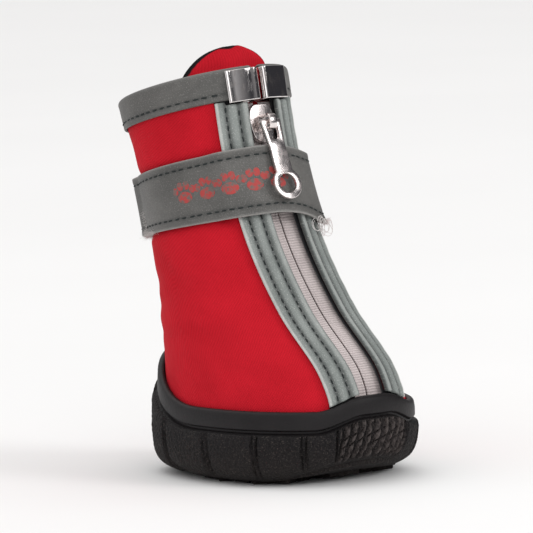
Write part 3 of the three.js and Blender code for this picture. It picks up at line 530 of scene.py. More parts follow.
webbing = reflective("reflective_grey", paint(60, 60, 58), paint(116, 114, 111), paint(174, 172, 169))
facing_cloth = reflective("reflective_facing", paint(94, 101, 98), paint(166, 171, 168), paint(228, 228, 224))

softshell, tree, inputs = new_material("softshell_red", specular_ior_level=0.12)
woven = use(tree, twill, Vector=surface(tree, "UV"), Threads=1150, Blotch=0.7)
red = blend(tree, woven["Shade"], paint(160, 14, 26), paint(216, 28, 46))
# The edge mark turns the red near black: the real black lining round the tongue's rim, and painted shade on
# the upper along the zip's slit and at the ends of the facings.
tree.links.new(blend(tree, mark(tree, "edge"), red, paint(26, 26, 28)), inputs["Base Color"])
tree.links.new(remap(tree, woven["Shade"], 0.0, 1.0, 0.92, 0.74), inputs["Roughness"])
bump(tree, inputs, woven["Height"], 0.00012)

ink, tree, inputs = new_material("worn_ink", specular_ior_level=0.3)
worn = noise(tree, surface(tree, "Object"), 800, 4)
inked = remap(tree, worn, 0.4, 0.56, 0.0, 1.0)
tree.links.new(blend(tree, inked, paint(108, 98, 94), paint(172, 66, 64)), inputs["Base Color"])
tree.links.new(remap(tree, worn, 0.3, 0.7, 0.8, 0.6), inputs["Roughness"])
bump(tree, inputs, worn, 0.00008)

zip_cloth, tree, inputs = new_material("zip_tape_pale", sheen_weight=0.15, specular_ior_level=0.4)
where = surface(tree, "UV")
axes = node(tree, "ShaderNodeSeparateXYZ", {0: where}).outputs
ribs = maths(tree, "SINE", maths(tree, "MULTIPLY", axes[0], 2 * np.pi * 1250))
woven = use(tree, twill, Vector=where, Threads=2400, Blotch=0.7)
tone = scaled(tree, ribs, 0.18, woven["Shade"])
tree.links.new(blend(tree, tone, paint(140, 129, 129), paint(224, 212, 210)), inputs["Base Color"])
inputs["Roughness"].default_value = 0.55
bump(tree, inputs, maths(tree, "ADD", ribs, woven["Height"]), 0.00006)
print("cloths:", [m.name for m in bpy.data.materials][-8:])

# %% Plastic, metal and rubber
coil_plastic, tree, inputs = new_material("coil_plastic", specular_ior_level=0.5)
worn = use(tree, scratched, Vector=surface(tree, "Object"), Length=2200)
tree.links.new(blend(tree, worn["Wear"], paint(120, 112, 114), paint(196, 188, 190)), inputs["Base Color"])
tree.links.new(remap(tree, worn["Wear"], 0.1, 0.5, 0.3, 0.5), inputs["Roughness"])
bump(tree, inputs, worn["Height"], 0.00002)


def plated(name, dull, bright, rough_low, rough_high):
    """Bright plating: a metal whose roughness follows faint rubbed patches and scratches."""
    made, tree, inputs = new_material(name, metallic=1.0)
    worn = use(tree, scratched, Vector=surface(tree, "Object"), Length=900)
    rubbed_off = remap(tree, worn["Wear"], 0.2, 0.42, 0.0, 1.0)
    tree.links.new(blend(tree, rubbed_off, bright, dull), inputs["Base Color"])
    tree.links.new(remap(tree, rubbed_off, 0.0, 1.0, rough_low, rough_high), inputs["Roughness"])
    bump(tree, inputs, worn["Height"], 0.000003)
    return made


clip_metal = plated("plated_clip", paint(206, 199, 196), paint(236, 232, 231), 0.07, 0.2)
slider_metal = plated("plated_slider", paint(204, 194, 192), paint(234, 226, 224), 0.2, 0.36)

rubber, tree, inputs = new_material("rubber_black", specular_ior_level=0.28)
where = surface(tree, "Object")
pebbled = use(tree, grain, Vector=where, Pebbles=1050, Specks=1.8)
rough_part = mark(tree, "grain")
height_now = node(tree, "ShaderNodeSeparateXYZ", {0: where}).outputs[2]
dust = maths(tree, "MULTIPLY", remap(tree, height_now, 0.0, 0.012, 0.3, 0.0), noise(tree, where, 260, 4))
specks = maths(tree, "MULTIPLY", pebbled["Speck"], rough_part)
black = blend(tree, noise(tree, where, 140, 4), paint(12, 10, 11), paint(28, 24, 26))
speckled = blend(tree, maths(tree, "MULTIPLY", specks, 0.7), black, paint(92, 84, 79))
rubbed = maths(tree, "MULTIPLY", mark(tree, "crest"), remap(tree, pebbled["Height"], 0.5, 1.1, 0.1, 0.75))
crested = blend(tree, rubbed, speckled, paint(88, 80, 78))
dusty = maths(tree, "MULTIPLY", dust, rough_part)
tree.links.new(blend(tree, dusty, crested, paint(70, 60, 52)), inputs["Base Color"])
tree.links.new(remap(tree, rough_part, 0.0, 1.0, 0.52, 0.8), inputs["Roughness"])
coarse = maths(tree, "MULTIPLY", pebbled["Height"], remap(tree, rough_part, 0.0, 1.0, 0.06, 1.0))
bump(tree, inputs, coarse, 0.0005)
print("all finishes:", len(bpy.data.materials))


def finish(made, name, slot, *looks, body="boot"):
    """Gives a piece its materials, hides the CAD node that it stands for and sets it on its body; the slot is
    not used.
    """
    for look in looks:
        made.data.materials.append(look)
    if name:
        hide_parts(name)
    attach(made, body)
    print(made.name, len(made.data.polygons), "faces")
    return made


# %% [markdown]
# ## Outsole
# The sole is one moulded rubber cup. From the tread up it has a rounded foot, a bulging pebbled
# wall, a deep groove and a smooth rim band that holds the upper. It could be sculpted, but its
# rows are all the same curve around the last at another height, so each row is read from the
# last, with the bark-like ribs of the toe and the paired grooves taken off its distance out.

# %% Sizes of the cup
LUG_DEPTH, FLOOR_THICK, ARCH_LIFT, ARCH_CENTRE, ARCH_HALF = 1.0, 3.0, 1.0, 13.0, 5.0
HUMP_TURNS, HEEL_TURNS = (6, 32), (92, 168)
CUP_SIDE, CUP_TOE, CUP_HEEL = 21.2, 24.8, 34.0
WALL_BULGE, TREAD_INSET = 3.4, 3.2
TOE_CAP, TOE_RIBS, RIB_DEPTH, RIB_CUTS, RIB_LEAN = 20, 10, 1.5, 2.8, 0.22
PANEL_TURNS = [19.5, 37, 61, 86, 112, 138, 163]
GROOVE_DEPTH, GROOVE_TURN, GROOVE_LEAN = 1.1, 0.55, 0.075
GAP, WALL = 0.3, 1.6


def rim_height(turn):
    """Height of the rim: level at the sides, a hump over the zip's foot, a raised heel."""
    degrees = np.abs(np.degrees(np.arctan2(np.sin(turn), np.cos(turn))))
    hump = (CUP_TOE - CUP_SIDE) * (1 - smooth(*HUMP_TURNS, degrees))
    return CUP_SIDE + hump + (CUP_HEEL - CUP_SIDE) * smooth(*HEEL_TURNS, degrees)


def sole_base(y):
    """Underside of the sole's floor, raised under the arch and the toe."""
    return LUG_DEPTH + spring_at(y) + ARCH_LIFT * (1 - smooth(0, ARCH_HALF, np.abs(y - ARCH_CENTRE)))


def sole_floor(y):
    """Upper side of the sole's floor."""
    return LUG_DEPTH + FLOOR_THICK + ARCH_LIFT + spring_at(y)


def wall_relief(degrees, height):
    """Depth cut from the wall: slanted broken ribs at the toe, and pairs of grooves at the panels.
    It comes with how much of a crest each point of the ribs is."""
    inside = 1 - smooth(TOE_CAP - 1.5, TOE_CAP - 0.4, np.abs(degrees))
    wander = RIB_LEAN * height + 0.8 * np.sin(0.42 * height + 1.3)
    wander = wander + 0.5 * np.sin(1.1 * height + 0.31 * degrees)
    phase = np.pi * TOE_RIBS * degrees / TOE_CAP + wander
    furrow = (0.5 + 0.5 * np.cos(phase)) ** 1.3
    strand = np.round(phase / (2 * np.pi) + 0.5)
    notch = smooth(0.55, 0.9, np.sin(2 * np.pi * (height / RIB_CUTS + 0.37 * strand) + phase))
    bark = np.maximum(furrow, 0.75 * notch)
    along = np.abs(degrees) - GROOVE_LEAN * (height - 12)
    panels = sum(bell(at - shift, GROOVE_TURN, along) for at in PANEL_TURNS for shift in (-1.0, 1.0))
    raised = sum(bell(at, GROOVE_TURN, along) for at in PANEL_TURNS)
    dimples = 0.12 * np.sin(degrees * 2.9 + 2 * np.sin(height)) * np.sin(height * 2.3 + 0.7 * degrees)
    plain = GROOVE_DEPTH * panels - 0.25 * raised + dimples * (1 - np.minimum(1, panels))
    return inside * RIB_DEPTH * bark + (1 - inside) * plain, inside * (1 - bark)


# %% Rows of the cup, from the middle of the tread out, up the wall, over the rim and down inside
HEAD_DOWN = [9.3, 8.0, 7.0, 6.6, 6.4, 6.15, 5.95, 5.45, 5.25, 5.1, 4.95, 4.7, 2.5, 1.0, 0.6, 0.3, 0.1, 0.0]
HEAD_OUT = [3.4, 3.32, 3.1, 2.85, 2.4, 1.5, 1.2, 1.2, 1.5, 1.95, 2.14, 2.2, 2.26, 2.2, 2.1, 1.9, 1.6, 1.25]
turns = np.unique(np.concatenate([np.linspace(-180, 180, 481)[:-1], np.linspace(-21, 21, 337)]))
turns = turns[np.concatenate([[True], np.diff(turns) > 0.03])]
turn = np.radians(turns)
rim_z = rim_height(turn)
foot_z = sole_base(section_point(turn, 0, 0)[:, 1])
up_foot = np.array([0.12, 0.35, 0.7, 1.1, 1.6, 2.2, 2.9, 3.7, 4.5, 5.4])
shares = np.linspace(0, 1, 34)[1:-1]
up_rows = np.concatenate([
    np.broadcast_to(up_foot[:, None], (len(up_foot), len(turn))),
    5.4 + shares[:, None] * (rim_z - foot_z - HEAD_DOWN[0] - 5.4),
    (rim_z - foot_z)[None] - np.array(HEAD_DOWN)[:, None],
])
heights = foot_z + up_rows
down = rim_z - heights
bulge = WALL_BULGE * (-0.85 + 1.85 * (1 - np.exp(-up_rows / 2.05)))
out = np.where(down > HEAD_DOWN[0] - 0.01, bulge, np.interp(-down, -np.array(HEAD_DOWN), HEAD_OUT))
relief_share = smooth(0.5, 2.6, up_rows) * (1 - smooth(-7.0, -6.2, -down))
cut, crest = wall_relief(turns[None], heights)
out = out - relief_share * cut
wall = section_point(turn[None], level_at(turn[None], heights, out), out)
wall[..., 2] = heights
tread_edge = section_point(turn, 0, -0.85 * WALL_BULGE)
tread_edge[:, 2] = sole_base(tread_edge[:, 1])
tread = np.stack([tread_edge * share for share in (0.2, 0.4, 0.6, 0.8, 0.93, 1.0)])
tread[..., 2] = sole_base(tread[..., 1])
floor_z = sole_floor(section_point(turn, 0, 0)[:, 1])
way_down = np.linspace(0, 1, 9)[1:, None]
inner_z = np.concatenate([[rim_z, rim_z - 0.3], rim_z - 0.3 + (floor_z - rim_z + 0.3) * way_down])
inner_out = np.array([0.75, *[GAP] * 9])[:, None]
hollow = section_point(turn[None], level_at(turn[None], inner_z, inner_out), inner_out)
hollow[..., 2] = inner_z
floor_rows = np.stack([hollow[-1] * share for share in (0.85, 0.6, 0.35)])
floor_rows[..., 2] = sole_floor(floor_rows[..., 1])
rows = np.concatenate([tread, wall, hollow, floor_rows])
cup = ring_body(rows, [0, 0, sole_base(0)], [0, 0, sole_floor(0)])
pebbled_tread = np.ones((len(tread), len(turn)))
smooth_inside = np.zeros((len(hollow) + len(floor_rows), len(turn)))
grain_rows = np.concatenate([pebbled_tread, 1 - smooth(-6.7, -6.2, -down), smooth_inside])
print("cup rows and turns:", rows.shape[:2])

# %% [markdown]
# ## Tread
# The boot grips with small blocks: a round pad under the ball, chevrons before it, rows of wedges
# at the sides and bricks under the heel. A block is an outline set down twice, once in the sole
# and once at its foot, with a narrow chamfer between, so only a few dozen faces are spent on each.

# %% Blocks of the tread


def block(outline, x, y, turned=0.0, hole=None):
    """A closed block from rings: in the sole, near the foot and at the foot, which is inset a little."""
    loops = []
    for loop, inset in ((np.asarray(outline, float), 0.35), (hole, -0.35)):
        if loop is None:
            continue
        loop = np.asarray(loop, float)
        shrunk = loop * (1 - inset / np.linalg.norm(loop, axis=1, keepdims=True).mean())
        loops.append([(loop, 1.0), (loop, 0.0), (shrunk, -1.0)])
    c, s = np.cos(turned), np.sin(turned)

    def lay(loop, place):
        px, py = loop[:, 0] * c - loop[:, 1] * s + x, loop[:, 0] * s + loop[:, 1] * c + y
        foot = spring_at(py)
        z = {1.0: sole_base(py) + 0.5 * FLOOR_THICK, 0.0: foot + 0.35, -1.0: foot}[place]
        return np.stack([px, py, z], -1)

    rings = [lay(*row) for row in loops[0]]
    if hole is None:
        return ring_body(rings, rings[0].mean(0), rings[-1].mean(0))
    rings += [lay(*row) for row in loops[1][::-1]]
    points = np.concatenate(rings)
    return points, outward(points, grid_faces(7, len(outline), True) % len(points))


def circle(radius, sides=32):
    """Points of a circle."""
    at = np.linspace(0, 2 * np.pi, sides, endpoint=False)
    return np.stack([radius * np.cos(at), radius * np.sin(at)], -1)


def tread_half(y):
    """Half width of the tread at a place along it, inside the rounded foot of the wall."""
    side = abs(section_point(np.pi / 2, 0, -TREAD_INSET)[0])
    reach = -section_point(0, 0, -TREAD_INSET)[1] if y < 0 else section_point(np.pi, 0, -TREAD_INSET)[1]
    square = SECTIONS[0, -1]
    return side * max(0, 1 - abs(y / reach) ** square) ** (1 / square)


PAD, PITCH, BAR, LEAF = 9.0, 6.6, 3.6, 5.2
chevron = [[-LEAF, 1.6], [0, -1.6], [LEAF, 1.6], [LEAF, 1.6 + BAR], [0, BAR - 1.6], [-LEAF, 1.6 + BAR]]
wedge = [[-3.1, -2.6], [3.1, -2.6], [0, 3.0]]
brick = [[-3.6, -BAR / 2], [3.6, -BAR / 2], [3.6, BAR / 2], [-3.6, BAR / 2]]
blocks = [block(circle(PAD * 0.5), 0, 0), block(circle(PAD), 0, 0, hole=circle(PAD * 0.68))]
blocks += [block(chevron, 0, -PAD - PITCH * (row + 1)) for row in range(3)]
for side in (-1, 1):
    for row in range(5):
        y = 4.5 - PITCH * row
        outer_x = tread_half(y) - 3.4
        lean = side * (1 if row % 2 else -1)
        blocks.append(block(wedge, side * outer_x, y, lean * np.pi / 6))
        if outer_x - 7.4 > (PAD + 3.4 if row < 3 else LEAF + BAR):
            blocks.append(block(wedge, side * (outer_x - 7.4), y + 1.2, -lean * np.pi / 2))
for row in range(4):
    y = ARCH_CENTRE + ARCH_HALF + 1.6 + BAR / 4 + row * (BAR + 1.6)
    count = int(2 * tread_half(y + BAR / 2) / 8.8) - row % 2
    blocks += [block(brick, (i - (count - 1) / 2) * 8.8, y) for i in range(count)]
points, faces = joined([cup, *blocks])
crest_rows = np.zeros_like(grain_rows)
crest_rows[len(tread):len(tread) + len(wall)] = crest * relief_share
plain_blocks = np.ones(len(points) - len(cup[0]))
marks = {
    "grain": np.concatenate([[1.0], grain_rows.ravel(), [0.0], plain_blocks]),
    "crest": np.concatenate([[0.0], crest_rows.ravel(), [0.0], 0 * plain_blocks]),
}
outsole = new_object("outsole_rubber", points, faces, marks=marks, sharp=50)
finish(outsole, "outsole", "rubber", rubber)
print("tread blocks:", len(blocks))

# %% [markdown]
# ## Footbed
# A thin foam footbed lies in the cup. It is a flat body with a softened edge, lower under the
# heel where weight presses it. Rings read from the last give it the foot's own outline.

# %% Footbed
INSOLE_THICK = 2.0
BED_EDGE = [(0.05, 0.6), (0.5, 0.1), (1.1, 0.0), (1.7, 0.25), (INSOLE_THICK, 0.8)]
ring_turns = np.linspace(0, 2 * np.pi, 160, endpoint=False)
bed_out = -WALL - GAP - 0.1


def bed_height(y):
    """Underside of the footbed, just over the cup's floor."""
    return sole_floor(y) + GAP + 0.15


def bed_ring(share, lift, offset):
    """One ring of the footbed: the last's outline at that height, drawn in to a share of its size."""
    height = bed_height(section_point(ring_turns, 0, 0)[:, 1]) + lift
    ring = section_point(ring_turns, level_at(ring_turns, height), offset)
    ring[:, :2] *= share
    dent = 0.35 * bell(22, 11, ring[:, 1]) * (1 - smooth(0.2, 0.9, share)) * (lift > 1)
    ring[:, 2] = bed_height(ring[:, 1]) + lift - dent
    return ring


inner_shares = [0.15, 0.3, 0.45, 0.6, 0.75, 0.88]
bed_rings = [bed_ring(share, 0, bed_out) for share in inner_shares]
bed_rings += [bed_ring(1, lift, bed_out - inset) for lift, inset in BED_EDGE]
bed_rings += [bed_ring(share, INSOLE_THICK, bed_out - 0.8) for share in inner_shares[::-1]]
bed = ring_body(bed_rings, [0, 0, bed_height(0)], [0, 0, bed_height(0) + INSOLE_THICK])
footbed = finish(new_object("footbed", *bed), "insole", "foam", footbed_cloth)

# %% [markdown]
# ## Upper
# The upper is one wall of softshell with a black lining, open at the collar and down the front
# for the zip. Its main creases are listed in a short table: where each one lies, how long
# and wide it is, how far it slants, and how deep. They fade out under the trims, where stitching
# holds the cloth flat, and the strap draws the shaft in a little.

# %% Creases
THROAT_HALF, THROAT_FOOT = 5.2, 21.0
STRAP_DROP, STRAP_WIDTH, STRAP_PULL = 22.0, 19.0, 1.2
BINDING_HEIGHT, BINDING_THICK = 8.0, 0.8
FACING_START, FACING_WIDTH = 4.6, 8.0
CREASES = np.array([
    # turn, level, length, width, slant, depth
    [64, 0.52, 26, 2.6, 10, -0.45],
    [78, 0.45, 30, 3.0, 4, 0.30],
    [96, 0.40, 26, 2.6, -6, -0.38],
    [54, 0.36, 20, 2.4, 14, -0.30],
    [120, 0.50, 24, 2.8, -10, -0.42],
    [150, 0.56, 26, 3.0, 8, -0.50],
    [182, 0.50, 30, 3.2, -3, 0.35],
    [206, 0.45, 26, 2.6, 6, -0.42],
    [240, 0.53, 28, 3.0, -8, -0.45],
    [268, 0.42, 26, 2.8, 8, -0.36],
    [296, 0.50, 22, 2.6, -14, -0.38],
    [70, 0.86, 9, 3.2, 80, -0.28],
    [130, 0.88, 10, 3.4, 96, -0.34],
    [228, 0.87, 10, 3.4, 84, -0.30],
    [292, 0.86, 9, 3.2, 98, -0.28],
    [104, 0.30, 34, 3.4, 2, 0.22],
    [250, 0.31, 34, 3.4, -2, 0.22],
])
SHAFT_RADIUS, SHAFT_HEIGHT = 25.0, 100.0


def creased(turn, level):
    """Sum of the table's creases: a bell across each one, times an eased window along it."""
    degrees = np.degrees(turn)[..., None]
    at, up_level, length, width, slant, depth = CREASES.T
    aside = np.radians(degrees - at) * SHAFT_RADIUS
    rise = (level[..., None] - up_level) * SHAFT_HEIGHT
    c, s = np.cos(np.radians(slant)), np.sin(np.radians(slant))
    along, across = aside * c + rise * s, rise * c - aside * s
    bowed = across + 0.012 * along ** 2 * np.sign(depth)
    return (depth * np.exp(-(bowed / width) ** 2) * (1 - smooth(0.45, 1.0, np.abs(along) / length))).sum(-1)


# %% Upper
levels = np.concatenate([np.linspace(0, 0.96, 150), np.linspace(0.965, 1, 8)])
shares = np.linspace(0, 1, 361)[:, None]
foot_turn = shares[:, 0] * 2 * np.pi
foot = level_at(foot_turn, sole_floor(section_point(foot_turn, 0, 0)[:, 1]) + 2 * GAP)[:, None]
level = foot + (1 - foot) * levels[None]
slit_z = section_point(0, level, 0)[..., 2]
slit = 0.05 + (THROAT_HALF - 0.05) * smooth(THROAT_FOOT - 1.8, THROAT_FOOT + 0.4, slit_z)
start = turn_aside(level, slit)
turn = start + shares * (2 * np.pi - 2 * start)
plain_wall = section_point(turn, level, 0)
beside, over_rim = np.abs(plain_wall[..., 0]), plain_wall[..., 2] - rim_height(turn)
rise = (level - 1) * SHAFT_PER_LEVEL
beside_zip = smooth(12.5, 17, beside + 60 * (np.cos(turn) < 0))
loose = smooth(0.8, 5, over_rim) * beside_zip * (1 - smooth(-13, -8.5, rise))
strap_foot = -STRAP_DROP - STRAP_WIDTH
band = smooth(strap_foot - 3, strap_foot + 2, rise) * (1 - smooth(-STRAP_DROP - 2, -STRAP_DROP + 3, rise))
folds = creased(turn, level) * (1 - band) - STRAP_PULL * band
lift = loose * (folds + 0.05 * np.sin(3 * turn + 9 * level))
by_facing = beside < FACING_START + FACING_WIDTH
# Painted shade on the red face: a near-black band along the zip's slit, and beside the facings where they
# meet the sole's rim and the collar binding.
foot_dark = (1 - smooth(0.8, 1.3, over_rim)) * by_facing
head_dark = smooth(-BINDING_HEIGHT - 1.9, -BINDING_HEIGHT - 1.5, rise) * by_facing
slit_dark = 1 - smooth(0.35, 0.8, beside - slit)
throat_shade = np.maximum.reduce([slit_dark, foot_dark, head_dark]) * (np.cos(turn) > 0)
shell = lambda out: last_point(turn, level, out + lift)
walls = np.full_like(level, WALL)
upper = two_faced("upper_softshell", shell, 0 * level, walls, 0.6, {"edge": throat_shade}, lining=True)
finish(upper, "upper", "softshell", softshell, lining)

# %% [markdown]
# ## Zip
# The zip is a reverse coil: two pale woven tapes whose folded edges meet at a dark slit, with the
# coils hidden behind. Each tape is a two-faced strip beside the front line, and each coil
# is one wire wound in an ellipse along it.

# %% Zip tapes and coils
TAPE_START, TAPE_WIDTH, TAPE_THICK = 0.25, 8.4, 0.8
COIL_WIDTH, COIL_THICK, COIL_WIRE, COIL_PITCH = 1.6, 1.2, 0.34, 1.35
CLIP_START, CLIP_WIDTH, CLIP_OVERHANG, CLIP_RISE, CLIP_THICK = 0.6, 8.8, 1.0, 0.1, 0.6
TAPE_FACE = -WALL - GAP
TAPE_BACK = TAPE_FACE - TAPE_THICK
SLIDER_LENGTH, NECK_WIDTH, NECK_LENGTH, SLIDER_DROP = 11.0, 1.4, 3.0, 15.6


def zip_tape(side, word):
    """A strip of the last beside the front line, with a bead along its folded inner edge."""
    foot_level = level_at(0, THROAT_FOOT - 3.0)
    head = collar_level(-BINDING_HEIGHT - CLIP_OVERHANG - GAP)
    aside = TAPE_START + spread(TAPE_WIDTH, 0.35, 0.35)[None, :]
    level = (foot_level + (head - foot_level) * np.linspace(0, 1, 150))[:, None] + 0 * aside
    rise = (level - 1) * SHAFT_PER_LEVEL
    neck_high = -SLIDER_DROP + SLIDER_LENGTH / 2 + 0.4
    neck_low = neck_high - NECK_LENGTH - 0.9
    beside_neck = smooth(neck_low - 3, neck_low, rise) * (1 - smooth(neck_high, neck_high + 2.5, rise))
    spread_out = (NECK_WIDTH / 2 + 0.35 - TAPE_START) * beside_neck * (1 - smooth(0, 3, aside - TAPE_START))
    turn = turn_aside(level, side * (aside + spread_out))
    dip = -0.28 * smooth(0.5, 1.4, aside - TAPE_START) * (1 - smooth(1.4, 2.6, aside - TAPE_START))
    face, thick = TAPE_FACE + dip, TAPE_THICK + dip
    made = two_faced(f"zip_tape_{word}_cloth", on_last(turn, level), face, thick, 0.38)
    return finish(made, f"zip_tape_{word}", "tape", zip_cloth)


def zip_coil(side, word):
    """A wire wound in an ellipse behind the tape: its height along the zip grows with its angle."""
    foot_level = level_at(0, THROAT_FOOT - 2.0)
    head = collar_level(-BINDING_HEIGHT - CLIP_OVERHANG - 1.5)
    line = last_point(0, np.linspace(foot_level, head, 200), TAPE_BACK)
    total = np.linalg.norm(np.diff(line, axis=0), axis=1).sum()
    wound = np.linspace(0, total / COIL_PITCH, int(total / COIL_PITCH) * 12)
    share = np.interp(wound / wound[-1], lengths(line, 0) / total, np.linspace(0, 1, 200))
    level = foot_level + (head - foot_level) * share
    half_wide, half_deep = (COIL_WIDTH - COIL_WIRE) / 2, (COIL_THICK - COIL_WIRE) / 2
    aside = TAPE_START + 0.15 + COIL_WIRE / 2 + half_wide * (1 + np.cos(2 * np.pi * wound))
    depth = TAPE_BACK - COIL_THICK / 2 + half_deep * np.sin(2 * np.pi * wound)
    path = last_point(turn_aside(level, side * aside), level, depth)
    return swept(path, *frames(path, np.array([0.3, 0.1, 1.0])), round_section(COIL_WIRE, COIL_WIRE, 6))


for side, word in ((1, "right"), (-1, "left")):
    zip_tape(side, word)
    finish(new_object(f"zip_coil_{word}", *zip_coil(side, word)), None, "tape", coil_plastic)

# %% [markdown]
# ## Stitches
# A row of lockstitch is the same short thread again and again, lying in a shallow dent. One capsule
# of a few faces is copied along a line on the last by array sums, then all of a piece's stitches
# are joined into one mesh, which is far lighter than a curve for each.

# %% Stitch rows
dice = np.random.default_rng(11)


def stitches(turn, level, out, pitch=2.5, long=1.55, wide=0.5, high=0.34):
    """Capsules along a line on the last: centre plus half length, width and height times a unit ball."""
    line, above = last_point(turn, level, out), last_point(turn, level, np.asarray(out) + 1)
    run = lengths(line, 0)
    at = np.arange(pitch / 2, run[-1] - pitch / 2, pitch)
    at = at + dice.uniform(-0.08, 0.08, len(at)) * pitch
    read = [np.stack([np.interp(at + shift, run, values[:, k]) for k in range(3)], -1)
            for values, shift in ((line, 0), (line, long / 2), (line, -long / 2), (above, 0))]
    tangent = read[1] - read[2]
    tangent /= np.linalg.norm(tangent, axis=1, keepdims=True)
    normal = read[3] - read[0]
    normal -= tangent * (normal * tangent).sum(1, keepdims=True)
    normal /= np.linalg.norm(normal, axis=1, keepdims=True)
    lean = dice.uniform(-0.1, 0.1, (len(at), 1))
    tangent = tangent + np.cross(normal, tangent) * lean
    side = np.cross(normal, tangent)
    tall = np.linspace(0, np.pi, 7)[1:-1, None]
    around = np.linspace(0, 2 * np.pi, 8, endpoint=False)
    girth = np.sin(tall) ** 0.6
    ball = np.stack([np.cos(tall) + 0 * around, girth * np.cos(around), girth * np.sin(around)], -1)
    unit, faces = ring_body(ball, [1, 0, 0], [-1, 0, 0])
    sizes = np.array([long / 2, wide / 2, high / 2])
    axes = np.stack([tangent, side, normal], 1)
    points = read[0][:, None] + np.einsum("vk,nkc->nvc", unit * sizes, axes)
    every = faces[None] + (np.arange(len(at)) * len(unit))[:, None, None]
    return points.reshape(-1, 3), every.reshape(-1, 4)


# %% [markdown]
# ## Facings
# A strip of reflective tape is sewn down each side of the zip. Its outer edge is folded under and
# shows pale, two rows of stitching dent it, and its inner edge stands up as a lip that shades the
# zip. It is a two-faced strip again, with the lip, fold and dents added to its outer face.

# %% Facings
FACING_THICK, FACING_LIP, FACING_SEAT = 0.9, 0.6, 0.4
FACING_ROWS, CHANNEL_DEPTH = (2.55, 5.75), 0.5
ROLL_CENTRE, ROLL_HALF = 0.9, 1.05
PUFF_CENTRE, PUFF_HEIGHT, FOLD_HEIGHT = 4.15, 0.4, 0.25


def facing_top(place):
    """Outer face over the seat: a round roll by the zip, a puff between two sewn channels, a folded edge."""
    roll = FACING_LIP * np.sqrt(np.clip(1 - ((place - ROLL_CENTRE) / ROLL_HALF) ** 2, 0, 1))
    fold = FOLD_HEIGHT * smooth(FACING_WIDTH - 1.3, FACING_WIDTH - 0.9, place)
    channels = sum(CHANNEL_DEPTH * bell(row, 0.5, place) for row in FACING_ROWS)
    puff = PUFF_HEIGHT * bell(PUFF_CENTRE, 1.0, place)
    return FACING_SEAT + FACING_THICK + roll + fold + puff - channels


def facing_levels(aside):
    """Foot and head levels of the facing at each distance aside: the sole's rim and the binding."""
    low_turn = turn_aside(0.24, aside)
    low = level_at(low_turn, rim_height(low_turn) + 0.45, GAP)
    under_clip = 1 - smooth(10.0, 10.4, np.abs(aside))
    high = collar_level(-BINDING_HEIGHT - GAP - CLIP_OVERHANG * under_clip)
    return low, high


for side, word in ((1, "right"), (-1, "left")):
    place = spread(FACING_WIDTH, 0.22, 0.4)[None, :]
    aside = side * (FACING_START + place)
    low, high = facing_levels(aside)
    level = low + (high - low) * np.linspace(0, 1, 170)[:, None]
    turn = turn_aside(level, aside)
    ripple = 0.05 * np.sin(level * 130 + side) * smooth(5.5, 8, place)
    top = facing_top(place) + ripple
    folded_edge = smooth(FACING_WIDTH - 0.8, FACING_WIDTH - 0.5, place)
    # The folded edge is pale on both facings; on the left facing, on the key lamp's side, it is painted paler
    # still, as a painted highlight.
    pale = (0.8 - 0.2 * side) * folded_edge + 0.2 * bell(ROLL_CENTRE, 0.5, place)
    # Painted shade along both sewn channels, and at the inner edge beside the zip where the lip's shadow
    # falls.
    seam_shade = sum(bell(row, 0.6, place) for row in FACING_ROWS) + 1 - smooth(0.0, 0.5, place)
    marks = {"pale": pale + 0 * level, "seam_shade": np.minimum(1, seam_shade) + 0 * level}
    strip = two_faced(f"facing_{word}_tape", on_last(turn, level), top, top - FACING_SEAT, 0.42, marks)
    finish(strip, f"facing_{word}", "webbing", facing_cloth)
    rows = []
    for row in FACING_ROWS:
        beside = side * (FACING_START + row)
        ends = facing_levels(np.array(beside))
        run = np.linspace(ends[0] + 0.006, ends[1] - 0.006, 260)
        rows.append(stitches(turn_aside(run, beside), run, facing_top(row) + 0.06))
    finish(new_object(f"facing_{word}_stitches", *joined(rows)), None, "webbing", thread_dark)

# %% [markdown]
# ## Collar binding
# The collar's raw edge is covered by tape folded over it. Its section is a long narrow loop: up
# the outside, over the top in half an ellipse and down the inside. Carried around the collar with
# a faint wave, it looks pressed and sewn rather than moulded.

# %% Collar binding
DOWN_STEPS = np.linspace(-BINDING_HEIGHT, -0.5, 30)
crown = np.linspace(0, np.pi, 15)[1:-1]
MID_OUT, MID_IN = GAP + BINDING_THICK / 2, -WALL - GAP - BINDING_THICK / 2
centre, reach = (MID_OUT + MID_IN) / 2, (MID_OUT - MID_IN) / 2
path_rise = np.concatenate([DOWN_STEPS, -0.5 + 1.2 * np.sin(crown), DOWN_STEPS[::-1]])
path_out = np.concatenate([np.full(30, MID_OUT), centre + reach * np.cos(crown), np.full(30, MID_IN)])
tangent = np.stack([np.gradient(path_rise), np.gradient(path_out)])
tangent /= np.linalg.norm(tangent, axis=0)
run = np.concatenate([[0], np.cumsum(np.hypot(np.diff(path_rise), np.diff(path_out)))])
BINDING_ROW = 1.9
dent = sum(0.17 * bell(at, 0.45, run) for at in (BINDING_ROW, run[-1] - BINDING_ROW))
ends = turn_aside(1.0, CLIP_START + CLIP_THICK + GAP)
around = np.linspace(ends, 2 * np.pi - ends, 300)[:, None]


def binding_place(out):
    """A point of the folded section, moved from its middle line along its own normal, at each turn."""
    away = smooth(9, 20, np.degrees(around)) * (1 - smooth(340, 351, np.degrees(around)))
    wave = 0.09 * np.sin(7 * around + 0.8) * away
    rise = path_rise - tangent[1] * out
    offset = path_out + tangent[0] * out + wave * (path_out > centre) * smooth(0, 2, np.abs(path_rise))
    return last_point(around + 0 * rise, collar_level(rise), offset)


